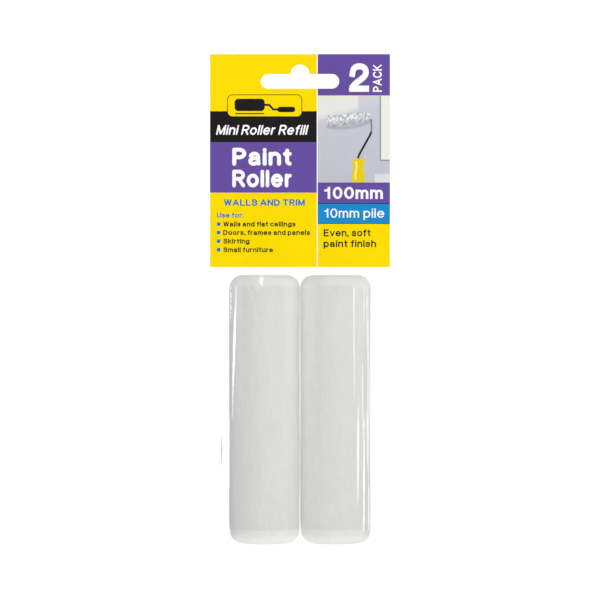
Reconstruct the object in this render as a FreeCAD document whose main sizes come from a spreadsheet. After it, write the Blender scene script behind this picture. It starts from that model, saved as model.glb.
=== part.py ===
"""Hang-sell pack of two mini paint roller covers, in millimetres.

The row frame has +Z up and +X to the right. The origin is where a display peg carries the pack: the top
of the hang slot, midway between the two panels of the header card. The front of the pack faces -Y.
"""

import FreeCAD, Part
import os

import Sketcher
from FreeCAD import Rotation, Vector

FULL_TURN_DEG = 360
SHOULDER_ANGLES_DEG = (0, 30, 60, 90)
MIN_VOLUME_MM3 = 1.0

# Alias, value in millimetres, meaning.
SIZES = (
    ("cover_length", 100.0, "roller cover over its pile"),
    ("nap_radius", 13.05, "outside of the pile as it lies in the bag"),
    ("nap_round", 4.6, "rounding of the pile at both ends"),
    ("cover_gap", 0.4, "space between the two covers"),
    ("backing", 0.6, "knitted backing that the pile is tied into"),
    ("core_radius", 7.0, "outside of the plastic core"),
    ("core_wall", 1.2, "wall of the plastic core"),
    ("core_recess", 1.0, "how far the core ends inside the pile"),
    ("bush_length", 12.0, "spigot of an end bush inside the core"),
    ("flange_gap", 0.1, "radial play between a bush's flange and the backing"),
    ("wire_bore", 3.1, "radius of the bore that a 6 mm frame wire runs in"),
    ("hub_wall", 1.0, "wall of a bush round its bore"),
    ("skirt_wall", 0.7, "wall of a bush against the core"),
    ("lead_in", 0.8, "chamfer at the mouth of a bore"),
    ("socket_depth", 9.0, "blind socket that holds the wire's tip"),
    ("dimple_radius", 3.4, "shallow dish in the closed bush"),
    ("dimple_depth", 0.4, "depth of that dish"),
    ("clip_collar", 2.0, "collar of the retaining clip"),
    ("finger_wall", 0.8, "wall of a clip finger"),
    ("finger_length", 9.0, "length of the clip fingers"),
    ("finger_slit", 1.2, "slit between two clip fingers"),
    ("barb_reach", 0.15, "how far a finger's barb stands into the bore"),
    ("barb_length", 1.0, "length of that barb"),
    ("card_width", 67.2, "header card"),
    ("card_height", 79.6, "header card from its fold to its lower edge"),
    ("board", 0.35, "thickness of the card board"),
    ("fold_round", 0.45, "outside rounding of the fold"),
    ("slot_length", 29.3, "hang slot from end to end"),
    ("slot_height", 5.5, "hang slot without its crown"),
    ("crown_radius", 3.5, "round crown above the middle of the hang slot"),
    ("slot_margin", 3.9, "board above the crown"),
    ("film", 0.1, "bag film"),
    ("film_gap", 0.35, "space between the film and the pile"),
    ("neck_play", 0.4, "card width that the flat bag leaves free on each side"),
    ("neck_slit", 0.04, "space between the two films at the lower edge of the card"),
    ("bag_mouth_drop", 18.0, "mouth of the bag below the fold of the card"),
    ("card_clearance", 3.0, "from the lower edge of the card to the covers"),
    ("glue", 0.08, "thickness of a glue strip"),
    ("glue_width", 58.0, "length of a glue strip across the card"),
    ("glue_height", 10.0, "height of a glue strip"),
    ("glue_margin", 4.0, "card below a glue strip"),
    ("weld_width", 0.5, "side weld of the bag, outwards"),
    ("weld_thickness", 0.4, "side weld of the bag, front to back"),
)

# Expressions that several sub-parts share.
COVER_X = "(sizes.nap_radius + sizes.cover_gap / 2)"
CORE_BORE = "(sizes.core_radius - sizes.core_wall)"
CARD_TOP = "sizes.slot_margin"
CARD_BOTTOM = "(sizes.slot_margin - sizes.card_height)"
COVER_TOP = f"({CARD_BOTTOM} - sizes.card_clearance)"
COVER_BOTTOM = f"({COVER_TOP} - sizes.cover_length)"
HALF_INSIDE = "(sizes.film + sizes.glue)"
SHOULDER_AXIS = "(sizes.nap_radius - sizes.nap_round)"
NECK_HALF_WIDTH = "(sizes.card_width / 2 - sizes.neck_play)"

doc = FreeCAD.newDocument("roller_cover_pack")


# ---------------------------------------------------------------- sheet and sketches


def make_sheet():
    sheet = doc.addObject("Spreadsheet::Sheet", "sizes")
    for row, (alias, value, meaning) in enumerate(SIZES, start=1):
        sheet.set(f"A{row}", meaning)
        sheet.set(f"B{row}", str(value))
        sheet.setAlias(f"B{row}", alias)
    doc.recompute()
    return sheet


def bind(thing, **expressions):
    """Ties properties of a document object to the sheet; two underscores stand for a dot."""
    for name, expression in expressions.items():
        thing.setExpression(name.replace("__", "."), expression)


def dimension(sketch, expression, *constraint):
    index = sketch.addConstraint(Sketcher.Constraint(*constraint))
    sketch.setExpression(f"Constraints[{index}]", expression)


def body_sketch(body, role):
    """A new sketch on one of the body's own origin planes."""
    plane = next(p for p in body.Origin.OriginFeatures if p.Role == role)
    sketch = body.newObject("Sketcher::SketchObject", "outline")
    sketch.AttachmentSupport = [(plane, "")]
    sketch.MapMode = "FlatFace"
    return sketch


def draw_circle(sketch, radius, up="0"):
    """A circle round a point of the sketch's vertical axis."""
    circle = sketch.addGeometry(Part.Circle(Vector(0, 0, 0), Vector(0, 0, 1), 2.0), False)
    sketch.addConstraint(Sketcher.Constraint("PointOnObject", circle, 3, -2))
    dimension(sketch, up, "DistanceY", -1, 1, circle, 3, 0.0)
    dimension(sketch, radius, "Radius", circle, 2.0)


def draw_rectangle(sketch, width, height, up="0"):
    """A rectangle centred across the sketch's vertical axis, standing on a level given by up."""
    corners = [Vector(-1, 0, 0), Vector(1, 0, 0), Vector(1, 1, 0), Vector(-1, 1, 0)]
    edges = [sketch.addGeometry(Part.LineSegment(a, b), False)
             for a, b in zip(corners, corners[1:] + corners[:1])]
    for this, following in zip(edges, edges[1:] + edges[:1]):
        sketch.addConstraint(Sketcher.Constraint("Coincident", this, 2, following, 1))
    for level in (edges[0], edges[2]):
        sketch.addConstraint(Sketcher.Constraint("Horizontal", level))
    for upright in (edges[1], edges[3]):
        sketch.addConstraint(Sketcher.Constraint("Vertical", upright))
    dimension(sketch, f"-({width}) / 2", "DistanceX", -1, 1, edges[0], 1, -1.0)
    dimension(sketch, width, "DistanceX", edges[0], 1, edges[0], 2, 2.0)
    dimension(sketch, up, "DistanceY", -1, 1, edges[0], 1, 0.0)
    dimension(sketch, height, "DistanceY", edges[1], 1, edges[1], 2, 1.0)


def draw_stadium(sketch, half_straight, radius, up="0"):
    """Two straight sides joined by half circles, centred on the sketch's vertical axis."""
    top = sketch.addGeometry(Part.LineSegment(Vector(-10, 5, 0), Vector(10, 5, 0)), False)
    bottom = sketch.addGeometry(Part.LineSegment(Vector(10, -5, 0), Vector(-10, -5, 0)), False)
    round_ends = []
    for x, start in ((10, -90), (-10, 90)):
        circle = Part.Circle(Vector(x, 0, 0), Vector(0, 0, 1), 5.0)
        begin = FreeCAD.Units.Quantity(f"{start} deg").getValueAs("rad").Value
        end = FreeCAD.Units.Quantity(f"{start + 180} deg").getValueAs("rad").Value
        round_ends.append(sketch.addGeometry(Part.ArcOfCircle(circle, begin, end), False))
    right, left = round_ends
    sketch.addConstraint(Sketcher.Constraint("Tangent", top, 2, right, 2))
    sketch.addConstraint(Sketcher.Constraint("Tangent", right, 1, bottom, 1))
    sketch.addConstraint(Sketcher.Constraint("Tangent", bottom, 2, left, 2))
    sketch.addConstraint(Sketcher.Constraint("Tangent", left, 1, top, 1))
    sketch.addConstraint(Sketcher.Constraint("Horizontal", top))
    dimension(sketch, half_straight, "DistanceX", -1, 1, right, 3, 10.0)
    dimension(sketch, f"-({half_straight})", "DistanceX", -1, 1, left, 3, -10.0)
    dimension(sketch, up, "DistanceY", -1, 1, right, 3, 0.0)
    dimension(sketch, up, "DistanceY", -1, 1, left, 3, 0.0)
    dimension(sketch, radius, "Radius", right, 5.0)


# ---------------------------------------------------------------- features


def make_body(label):
    body = doc.addObject("PartDesign::Body", label)
    body.Label = label
    return body


def pad(body, sketch, length, reverse=False, both_ways=False):
    feature = body.newObject("PartDesign::Pad", "pad")
    feature.Profile = sketch
    feature.Reversed = reverse
    feature.Midplane = both_ways
    bind(feature, Length=length)
    doc.recompute()
    return feature


def pocket(body, sketch, length=None, reverse=False):
    """Cuts the sketch to a depth, or right through both ways where no depth is given."""
    before = body.Shape.Volume
    feature = body.newObject("PartDesign::Pocket", "pocket")
    feature.Profile = sketch
    feature.Reversed = reverse
    if length is None:
        feature.Type = "ThroughAll"
        feature.Midplane = True
    else:
        bind(feature, Length=length)
    doc.recompute()
    if not body.Shape.Volume < before:
        raise RuntimeError(f"a pocket of {body.Label} cuts nothing")
    return feature


def edges_at(shape, keep):
    """Names of the edges for which keep(edge) holds."""
    return [f"Edge{n}" for n, edge in enumerate(shape.Edges, start=1) if keep(edge)]


def dress(body, kind, keep, **sizes):
    """A Fillet or Chamfer on the edges of the body's last feature that keep picks."""
    base = body.Tip
    names = edges_at(base.Shape, keep)
    if not names:
        raise RuntimeError(f"{body.Label} has no edge for its {kind}")
    feature = body.newObject(f"PartDesign::{kind}", kind.lower())
    feature.Base = (base, names)
    bind(feature, **sizes)
    doc.recompute()
    return feature


def is_ring(radius, level):
    """A test for a full circle of that radius at that height in the body's own frame."""

    def test(edge):
        curve = edge.Curve
        round_edge = isinstance(curve, Part.Circle) and abs(curve.Radius - radius) < 1e-4
        return round_edge and abs(curve.Center.z - level) < 1e-4

    return test


def place_in_cover(body, side, height, flipped=False):
    """Stands a body on its cover's axis, height above the cover's lower end."""
    bind(body, Placement__Base__x=f"{side} * {COVER_X}")
    bind(body, Placement__Base__z=f"{COVER_BOTTOM} + {height}")
    if flipped:
        body.Placement.Rotation = Rotation(Vector(1, 0, 0), FULL_TURN_DEG / 2)
    doc.recompute()
    return body


# ---------------------------------------------------------------- roller cover


def make_ring(label, outer, inner, length):
    body = make_body(label)
    sketch = body_sketch(body, "XY_Plane")
    draw_circle(sketch, outer)
    draw_circle(sketch, inner)
    pad(body, sketch, length)
    return body


def make_nap(name, side, size):
    """The pile: a thick soft sleeve with rounded ends."""
    body = make_ring(f"{name}_nap", "sizes.nap_radius", "sizes.core_radius + sizes.backing",
                     "sizes.cover_length")
    outer_rims = [is_ring(size["nap_radius"], level) for level in (0.0, size["cover_length"])]
    dress(body, "Fillet", lambda edge: any(rim(edge) for rim in outer_rims), Radius="sizes.nap_round")
    return place_in_cover(body, side, "0")


def make_backing(name, side):
    body = make_ring(f"{name}_backing", "sizes.core_radius + sizes.backing", "sizes.core_radius",
                     "sizes.cover_length - 1.2 * sizes.core_recess")
    return place_in_cover(body, side, "0.6 * sizes.core_recess")


def make_core(name, side):
    body = make_ring(f"{name}_core_tube", "sizes.core_radius", CORE_BORE,
                     "sizes.cover_length - 2 * sizes.core_recess")
    return place_in_cover(body, side, "sizes.core_recess")


def make_bush_blank(label):
    """Flange and spigot of an end bush, with its outer face at height 0 and its spigot upwards."""
    body = make_body(label)
    flange = body_sketch(body, "XY_Plane")
    draw_circle(flange, "sizes.core_radius - sizes.flange_gap")
    pad(body, flange, "sizes.core_recess")
    spigot = body_sketch(body, "XY_Plane")
    bind(spigot, AttachmentOffset__Base__z="sizes.core_recess")
    draw_circle(spigot, CORE_BORE)
    pad(body, spigot, "sizes.bush_length")
    return body


def core_out_bush(body):
    """The annular hollow between a bush's hub and its skirt, open towards the middle of the cover."""
    hollow = body_sketch(body, "XY_Plane")
    bind(hollow, AttachmentOffset__Base__z="2 * sizes.core_recess")
    draw_circle(hollow, f"{CORE_BORE} - sizes.skirt_wall")
    draw_circle(hollow, "sizes.wire_bore + sizes.hub_wall")
    pocket(body, hollow, "sizes.bush_length", reverse=True)


def make_open_bush(name, side, size):
    """The bush that the frame wire enters by."""
    body = make_bush_blank(f"{name}_open_end_bush")
    bore = body_sketch(body, "XY_Plane")
    draw_circle(bore, "sizes.wire_bore")
    pocket(body, bore)
    core_out_bush(body)
    dress(body, "Chamfer", is_ring(size["wire_bore"], 0.0), Size="sizes.lead_in")
    return place_in_cover(body, side, "0")


def make_closed_bush(name, side, size):
    """The bush at the far end: a blind socket for the wire's tip behind a dished face."""
    body = make_bush_blank(f"{name}_closed_end_bush")
    core_out_bush(body)
    dish = body_sketch(body, "XY_Plane")
    draw_circle(dish, "sizes.dimple_radius")
    pocket(body, dish, "sizes.dimple_depth", reverse=True)
    socket = body_sketch(body, "XY_Plane")
    bind(socket, AttachmentOffset__Base__z="sizes.core_recess + sizes.bush_length - sizes.socket_depth")
    draw_circle(socket, "sizes.wire_bore")
    pocket(body, socket, "sizes.socket_depth", reverse=True)
    mouth = size["core_recess"] + size["bush_length"]
    dress(body, "Chamfer", is_ring(size["wire_bore"], mouth), Size="sizes.lead_in")
    return place_in_cover(body, side, "sizes.cover_length", flipped=True)


def make_clip(name, side):
    """The retaining clip: a collar held in the core, with four slit fingers barbed at their tips."""
    body = make_body(f"{name}_retaining_clip")
    collar = body_sketch(body, "XY_Plane")
    draw_circle(collar, CORE_BORE)
    draw_circle(collar, "sizes.wire_bore")
    pad(body, collar, "sizes.clip_collar")
    fingers = body_sketch(body, "XY_Plane")
    bind(fingers, AttachmentOffset__Base__z="sizes.clip_collar")
    draw_circle(fingers, "sizes.wire_bore + sizes.finger_wall")
    draw_circle(fingers, "sizes.wire_bore")
    pad(body, fingers, "sizes.finger_length")
    barbs = body_sketch(body, "XY_Plane")
    bind(barbs, AttachmentOffset__Base__z="sizes.clip_collar + sizes.finger_length - sizes.barb_length")
    draw_circle(barbs, "sizes.wire_bore + sizes.finger_wall / 2")
    draw_circle(barbs, "sizes.wire_bore - sizes.barb_reach")
    pad(body, barbs, "sizes.barb_length")
    for plane in ("XZ_Plane", "YZ_Plane"):
        slit = body_sketch(body, plane)
        draw_rectangle(slit, "sizes.finger_slit", "sizes.finger_length", up="sizes.clip_collar")
        pocket(body, slit)
    return place_in_cover(body, side, "sizes.core_recess + sizes.bush_length")


def make_cover(name, side, size):
    return [
        make_nap(name, side, size),
        make_backing(name, side),
        make_core(name, side),
        make_open_bush(name, side, size),
        make_clip(name, side),
        make_closed_bush(name, side, size),
    ]


# ---------------------------------------------------------------- header card and glue


def make_header_card(size):
    """One board folded over the bag's mouth, with the hang slot punched through both panels."""
    body = make_body("header_card")
    section = body_sketch(body, "XZ_Plane")
    draw_rectangle(section, "sizes.card_width", "sizes.card_height", up=CARD_BOTTOM)
    pad(body, section, f"2 * ({HALF_INSIDE} + sizes.board)", both_ways=True)
    half_depth = size["film"] + size["glue"] + size["board"]

    def is_fold_edge(edge):
        middle = edge.BoundBox.Center
        at_top = abs(middle.z - size["slot_margin"]) < 1e-4
        return at_top and abs(abs(middle.y) - half_depth) < 1e-4 and abs(middle.x) < 1e-4

    dress(body, "Fillet", is_fold_edge, Radius="sizes.fold_round")
    inside = body_sketch(body, "YZ_Plane")
    draw_rectangle(inside, f"2 * {HALF_INSIDE}", "sizes.card_height - sizes.board", up=CARD_BOTTOM)
    pocket(body, inside)
    slot = body_sketch(body, "XZ_Plane")
    draw_stadium(slot, "(sizes.slot_length - sizes.slot_height) / 2", "sizes.slot_height / 2",
                 up="-sizes.crown_radius - sizes.slot_height / 2")
    pocket(body, slot)
    crown = body_sketch(body, "XZ_Plane")
    draw_circle(crown, "sizes.crown_radius", up="-sizes.crown_radius")
    pocket(body, crown)
    return body


def make_box(label, length, width, height, x, y, z):
    box = doc.addObject("Part::Box", label)
    box.Label = label
    bind(box, Length=length, Width=width, Height=height)
    bind(box, Placement__Base__x=x, Placement__Base__y=y, Placement__Base__z=z)
    return box


def make_glue_strips():
    """The strips that bond the bag to the two panels of the card."""
    strips = []
    for label, front_face in (("front_glue_strip", f"-{HALF_INSIDE}"), ("back_glue_strip", "sizes.film")):
        strips.append(make_box(label, "sizes.glue_width", "sizes.glue", "sizes.glue_height",
                               "-sizes.glue_width / 2", front_face, f"{CARD_BOTTOM} + sizes.glue_margin"))
    return strips


# ---------------------------------------------------------------- bag


def bag_section(half_straight, radius, height):
    """One level section of the bag, as a sketch outside any body."""
    sketch = doc.addObject("Sketcher::SketchObject", "bag_section")
    draw_stadium(sketch, half_straight, radius)
    bind(sketch, Placement__Base__z=height)
    return sketch


def make_bag_loft(label, stand_off, neck_radius):
    """The bag as a filled form, its surface stand_off outside the pile: snug round the covers and
    their lower ends, then in over their upper ends to the flat neck at the card."""
    shoulder = f"(sizes.nap_round + {stand_off})"
    widest = f"(sizes.nap_radius + {stand_off})"
    flare = f"(({NECK_HALF_WIDTH} - {neck_radius} - {COVER_X}) / ({widest} - {neck_radius}))"
    sections = []
    for angle in reversed(SHOULDER_ANGLES_DEG):
        radius = f"{SHOULDER_AXIS} + {shoulder} * cos({angle} deg)"
        height = f"{COVER_BOTTOM} + sizes.nap_round - {shoulder} * sin({angle} deg)"
        sections.append(bag_section(COVER_X, radius, height))
    for angle in SHOULDER_ANGLES_DEG:
        radius = f"{SHOULDER_AXIS} + {shoulder} * cos({angle} deg)"
        height = f"{COVER_TOP} - sizes.nap_round + {shoulder} * sin({angle} deg)"
        half_straight = f"{COVER_X} + {flare} * ({widest} - ({radius}))"
        sections.append(bag_section(half_straight, radius, height))
    sections.append(bag_section(f"{NECK_HALF_WIDTH} - {neck_radius}", neck_radius, CARD_BOTTOM))
    loft = doc.addObject("Part::Loft", label)
    loft.Sections = sections
    loft.Solid = True
    loft.Ruled = True
    return loft


def make_bag(size):
    """Front and back film, which meet in the middle plane, and the two side welds."""
    outside = make_bag_loft("bag_outside", "sizes.film_gap + sizes.film", "sizes.film")
    inside = make_bag_loft("bag_inside", "sizes.film_gap", "sizes.neck_slit / 2")
    shell = doc.addObject("Part::Cut", "bag_shell")
    shell.Base = outside
    shell.Tool = inside
    doc.recompute()
    pieces = []
    room = "(sizes.card_width + sizes.cover_length)"
    for label, behind, film_face in (("bag_front_film", f"-{room}", "-sizes.film"),
                                     ("bag_back_film", "0", "0")):
        half_space = make_box(f"{label}_half_space", room, room, f"2 * {room}", f"-{room} / 2", behind,
                              f"-2 * {room}")
        half = doc.addObject("Part::Common", f"{label}_half")
        half.Base = shell
        half.Tool = half_space
        flat = make_box(f"{label}_flat", f"2 * {NECK_HALF_WIDTH} - 2 * sizes.film", "sizes.film",
                        "sizes.card_height - sizes.bag_mouth_drop",
                        f"sizes.film - {NECK_HALF_WIDTH}", film_face, CARD_BOTTOM)
        film = doc.addObject("Part::Fuse", label)
        film.Label = label
        film.Base = half
        film.Tool = flat
        film.Refine = True
        pieces.append(film)
    side_reach = f"({COVER_X} + sizes.nap_radius + sizes.film_gap + sizes.film)"
    straight_length = "sizes.cover_length - 2 * sizes.nap_round"
    for label, near_edge in (("left_side_weld", f"-{side_reach} - sizes.weld_width"),
                             ("right_side_weld", f"{side_reach} - sizes.film")):
        bead = make_box(f"{label}_bead", "sizes.weld_width + sizes.film", "sizes.weld_thickness",
                        straight_length, near_edge, "-sizes.weld_thickness / 2",
                        f"{COVER_BOTTOM} + sizes.nap_round")
        weld = doc.addObject("Part::Cut", label)
        weld.Label = label
        weld.Base = bead
        weld.Tool = outside
        pieces.append(weld)
    doc.recompute()
    return pieces


# ---------------------------------------------------------------- build and export


def check(parts):
    for thing in doc.Objects:
        if "Invalid" in thing.State or "Error" in thing.State:
            raise RuntimeError(f"{thing.Label} failed: {thing.State}")
    for part in parts:
        shape = part.Shape
        if shape.isNull() or not shape.isValid() or not shape.Solids:
            raise RuntimeError(f"{part.Label} has no valid solid")
        if shape.Volume < MIN_VOLUME_MM3:
            raise RuntimeError(f"{part.Label} is almost empty")


def main():
    make_sheet()
    size = {alias: value for alias, value, meaning in SIZES}
    parts = [make_header_card(size)] + make_glue_strips() + make_bag(size)
    for name, side in (("left", -1), ("right", 1)):
        parts += make_cover(name, side, size)
    doc.recompute()
    check(parts)
    os.makedirs("parts", exist_ok=True)
    for part in parts:
        part.Shape.exportStep(f"parts/{part.Label}.step")
        box = part.Shape.BoundBox
        print(f"{part.Label:26s} {part.Shape.Volume:10.2f} mm3  x {box.XMin:8.2f} {box.XMax:8.2f}"
              f"  y {box.YMin:7.2f} {box.YMax:7.2f}  z {box.ZMin:8.2f} {box.ZMax:8.2f}"
              f"  solids {len(part.Shape.Solids)}")


main()
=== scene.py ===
"""A hang-sell pack of two mini paint roller covers: printed header card, clear film bag and pile covers.

Lengths are in metres and turns in radians. The origin is the top of the hang slot, +Z is up and the
printed front of the card faces -Y.
"""

import math
from typing import NamedTuple

import bmesh
import bpy
import numpy as np
from bpy.props import FloatProperty, FloatVectorProperty, IntProperty, PointerProperty
from mathutils import Matrix, Vector
from mathutils.geometry import delaunay_2d_cdt


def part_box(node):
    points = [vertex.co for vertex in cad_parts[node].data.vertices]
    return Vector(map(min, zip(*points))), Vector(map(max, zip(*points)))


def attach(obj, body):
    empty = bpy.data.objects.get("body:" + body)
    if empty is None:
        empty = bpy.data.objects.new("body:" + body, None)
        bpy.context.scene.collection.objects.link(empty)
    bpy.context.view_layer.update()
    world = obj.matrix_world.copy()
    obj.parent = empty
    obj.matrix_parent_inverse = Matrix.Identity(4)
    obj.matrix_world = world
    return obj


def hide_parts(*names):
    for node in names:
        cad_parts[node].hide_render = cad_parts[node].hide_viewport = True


bl_info = {
    "name": "Roller Cover Pack",
    "version": (1, 0, 0),
    "blender": (4, 5, 0),
    "location": "3D View > Sidebar > Roller Pack",
    "description": "Builds a hanging retail pack of two mini paint roller covers",
    "category": "Add Mesh",
}

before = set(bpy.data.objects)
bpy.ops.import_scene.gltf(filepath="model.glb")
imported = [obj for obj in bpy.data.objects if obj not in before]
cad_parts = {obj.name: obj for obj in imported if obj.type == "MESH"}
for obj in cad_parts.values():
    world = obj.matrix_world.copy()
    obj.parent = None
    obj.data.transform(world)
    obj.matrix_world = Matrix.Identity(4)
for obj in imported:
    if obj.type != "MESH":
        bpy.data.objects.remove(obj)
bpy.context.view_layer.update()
MM = 0.001
CARD_LOW, CARD_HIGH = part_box("header_card")
SIDES = ("left", "right")
COVER_LOW, COVER_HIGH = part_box("right_nap")
COVER_LENGTH = 0.1
PILE_ROUNDING = 0.0046
PILE_BORE = 0.00762
WELD_SIDES, WELD_BEAD = 10, 0.00022

# Print layout on the front, in millimetres from the card's left edge and down from its fold:
# across from, across to, down from, down to, ink.
FRONT_PRINT = (
    (0.0, 39.86, 0.0, 21.34, "yellow"),
    (0.0, 39.86, 21.34, 32.89, "black"),
    (0.0, 39.86, 32.89, 51.76, "purple"),
    (0.0, 39.86, 51.76, 79.6, "yellow"),
    (39.86, 40.23, 0.0, 79.6, "white"),
    (40.23, 67.2, 0.0, 15.43, "purple"),
    (40.23, 67.2, 15.43, 15.73, "yellow"),
    (40.23, 67.2, 15.73, 47.98, "white"),
    (40.23, 67.2, 47.98, 55.68, "purple"),
    (40.23, 67.2, 55.68, 55.94, "black"),
    (40.23, 67.2, 55.94, 63.2, "blue"),
    (40.23, 67.2, 63.2, 63.45, "black"),
    (40.23, 67.2, 63.45, 79.6, "yellow"),
)
# The back panel, measured the same way from the card's edge at -X.
BACK_PRINT = (
    (0.0, 39.86, 0.0, 15.43, "yellow"),
    (39.86, 40.23, 0.0, 15.43, "white"),
    (40.23, 67.2, 0.0, 15.43, "purple"),
    (0.0, 67.2, 15.43, 55.94, "yellow"),
    (0.0, 67.2, 55.94, 63.2, "purple"),
    (0.0, 67.2, 63.2, 79.6, "yellow"),
)


class Words(NamedTuple):
    """One line of lettering, measured like the print layout. Its weight is a share of the cap height."""

    text: str
    across: float
    baseline: float
    cap: float
    run: float
    weight: float
    ink: str
    slant: float = 0.0
    rounded: bool = False
    turned: bool = False


FRONT_WORDS = (
    Words("Mini Roller Refill", 2.23, 30.2, 3.75, 34.6, 0.17, "white", slant=0.22, rounded=True),
    Words("Paint", 8.3, 41.7, 6.7, 22.2, 0.215, "white", rounded=True),
    Words("Roller", 8.3, 49.8, 6.6, 22.2, 0.215, "white", rounded=True),
    Words("WALLS AND TRIM", 5.14, 56.69, 2.47, 30.3, 0.2, "heading"),
    Words("Use for:", 2.56, 61.14, 1.92, 10.0, 0.19, "heading"),
    Words("Walls and flat ceilings", 4.95, 64.43, 1.87, 27.0, 0.19, "black"),
    Words("Doors, frames and panels", 4.95, 67.6, 1.87, 32.4, 0.19, "black"),
    Words("Skirting", 4.95, 70.82, 1.87, 9.8, 0.19, "black"),
    Words("Small furniture", 4.95, 74.03, 1.87, 18.6, 0.19, "black"),
    Words("2", 51.74, 14.09, 10.7, 7.66, 0.215, "white"),
    Words("PACK", 64.2, 14.09, 3.4, 10.24, 0.18, "white", turned=True),
    Words("100mm", 42.62, 54.11, 4.5, 21.94, 0.185, "white"),
    Words("10mm pile", 42.62, 61.14, 3.45, 22.5, 0.13, "white"),
    Words("Even, soft", 42.43, 68.09, 2.63, 17.6, 0.17, "black"),
    Words("paint finish", 42.43, 72.09, 2.63, 19.6, 0.17, "black"),
)
# On the back the words run the other way, from the card's edge at +X.
BACK_WORDS = (
    Words("Mini roller covers", 5.0, 22.5, 4.0, 41.0, 0.18, "black", rounded=True),
    Words("Fit a frame with a 6mm wire", 5.0, 28.0, 2.2, 37.0, 0.12, "black"),
    Words("1  Push the cover onto the frame", 5.0, 35.0, 2.0, 41.0, 0.12, "black"),
    Words("2  Load it evenly with paint", 5.0, 39.0, 2.0, 34.0, 0.12, "black"),
    Words("3  Roll in light, even strokes", 5.0, 43.0, 2.0, 35.0, 0.12, "black"),
    Words("4  Wash out well after use", 5.0, 47.0, 2.0, 34.0, 0.12, "black"),
    Words("100mm", 5.0, 61.3, 3.4, 16.6, 0.19, "white"),
    Words("10mm pile", 42.0, 61.1, 3.0, 19.6, 0.12, "white"),
)
BULLETS_DOWN = (63.49, 66.67, 69.88, 73.09)
BULLET_LEFT, BULLET_SIDE, BULLET_ROUNDING = 2.56, 1.28, 0.08
# The fold's rounding ends this far down.
FOLD_DOWN = 0.46
# Gaps after a word, a letter with round ends and a letter with square ends, in cap heights.
WORD_GAP, ROUND_LETTER_GAP, LETTER_GAP = 0.27, 0.1, 0.12


def ink(red, green, blue):
    """A linear colour from the 0 to 255 values a printer would give for it."""
    shares = (red / 255, green / 255, blue / 255)
    return tuple(s / 12.92 if s <= 0.04045 else ((s + 0.055) / 1.055) ** 2.4 for s in shares)


def colour_property(name, description, default):
    return FloatVectorProperty(
        name=name, description=description, default=default, subtype="COLOR", min=0.0, max=1.0
    )


def length_property(name, description, default, low=None):
    limits = {} if low is None else {"min": low}
    return FloatProperty(
        name=name, description=description, default=default, subtype="DISTANCE", unit="LENGTH", **limits
    )


# ---------------------------------------------------------------- settings


class CardSettings(bpy.types.PropertyGroup):
    yellow: colour_property("Yellow", "Ground colour of the header card", ink(254, 222, 0))
    purple: colour_property("Purple", "Colour of the broad bands", ink(104, 80, 161))
    black: colour_property("Black", "Colour of the dark band and small words", ink(34, 30, 31))
    blue: colour_property("Blue", "Colour of the pile band", ink(30, 140, 205))
    heading: colour_property("Headings", "Colour of the headings and bullets", ink(16, 122, 196))
    white: colour_property("White", "Bare coated board and white print", ink(254, 254, 254))
    core: colour_property("Cut edge", "Colour of the board's cut edges", ink(236, 232, 222))
    print_height: length_property(
        "Print Height", "How far one layer of print stands proud of the board", 0.00002, 0.0
    )


class CoverSettings(bpy.types.PropertyGroup):
    pile: colour_property("Pile", "Colour of the pile", ink(240, 239, 234))
    trimmed: colour_property("Trimmed Pile", "Colour of the cut pile at both ends", ink(249, 247, 241))
    backing: colour_property("Backing", "Colour of the knitted backing", ink(214, 210, 200))
    core: colour_property("Core", "Colour of the plastic core", ink(222, 224, 222))
    bush: colour_property("Bush", "Colour of the end bushes", ink(232, 233, 230))
    clip: colour_property("Clip", "Colour of the retaining clip", ink(160, 168, 178))
    around: IntProperty(name="Around", description="Tufts cut round the pile", default=288, min=48)
    row_step: length_property(
        "Row Step", "Distance between two rows of the pile's surface", 0.00036, 0.0002
    )
    lower_trim: length_property("Lower Band", "Height of the band at the pile's lower end", 0.0054)
    upper_trim: length_property("Upper Band", "Height of the band at the pile's upper end", 0.0038)
    relief: FloatProperty(
        name="Relief", description="How strongly the combed tufts stand out", default=1.7, min=0.0
    )


class BagSettings(bpy.types.PropertyGroup):
    tint: colour_property("Tint", "What the film lets through", (0.985, 0.99, 0.995))
    thickness: length_property("Film", "Thickness of the film", 0.0001)
    stand_off: length_property("Stand Off", "From the pile to the outside of the film", 0.00016)
    columns: IntProperty(name="Columns", description="Faces across each film", default=220, min=40)
    bulge: length_property(
        "Side Bulge", "How far the left seam stands out at its slackest place", 0.0024
    )


class StudioSettings(bpy.types.PropertyGroup):
    lens: FloatProperty(name="Lens", description="Focal length in millimetres", default=200.0, min=35.0)
    seen_width: length_property("Seen Width", "Width of the view where the pack hangs", 0.22422)
    eye_level: length_property("Eye Level", "Height of the camera", -0.08797)
    ambient: FloatProperty(name="Ambient", description="Light from all round", default=0.5, min=0.0)
    background: FloatProperty(name="Background", description="Brightness seen behind", default=1.12, min=0.0)


# ---------------------------------------------------------------- finishes


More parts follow.
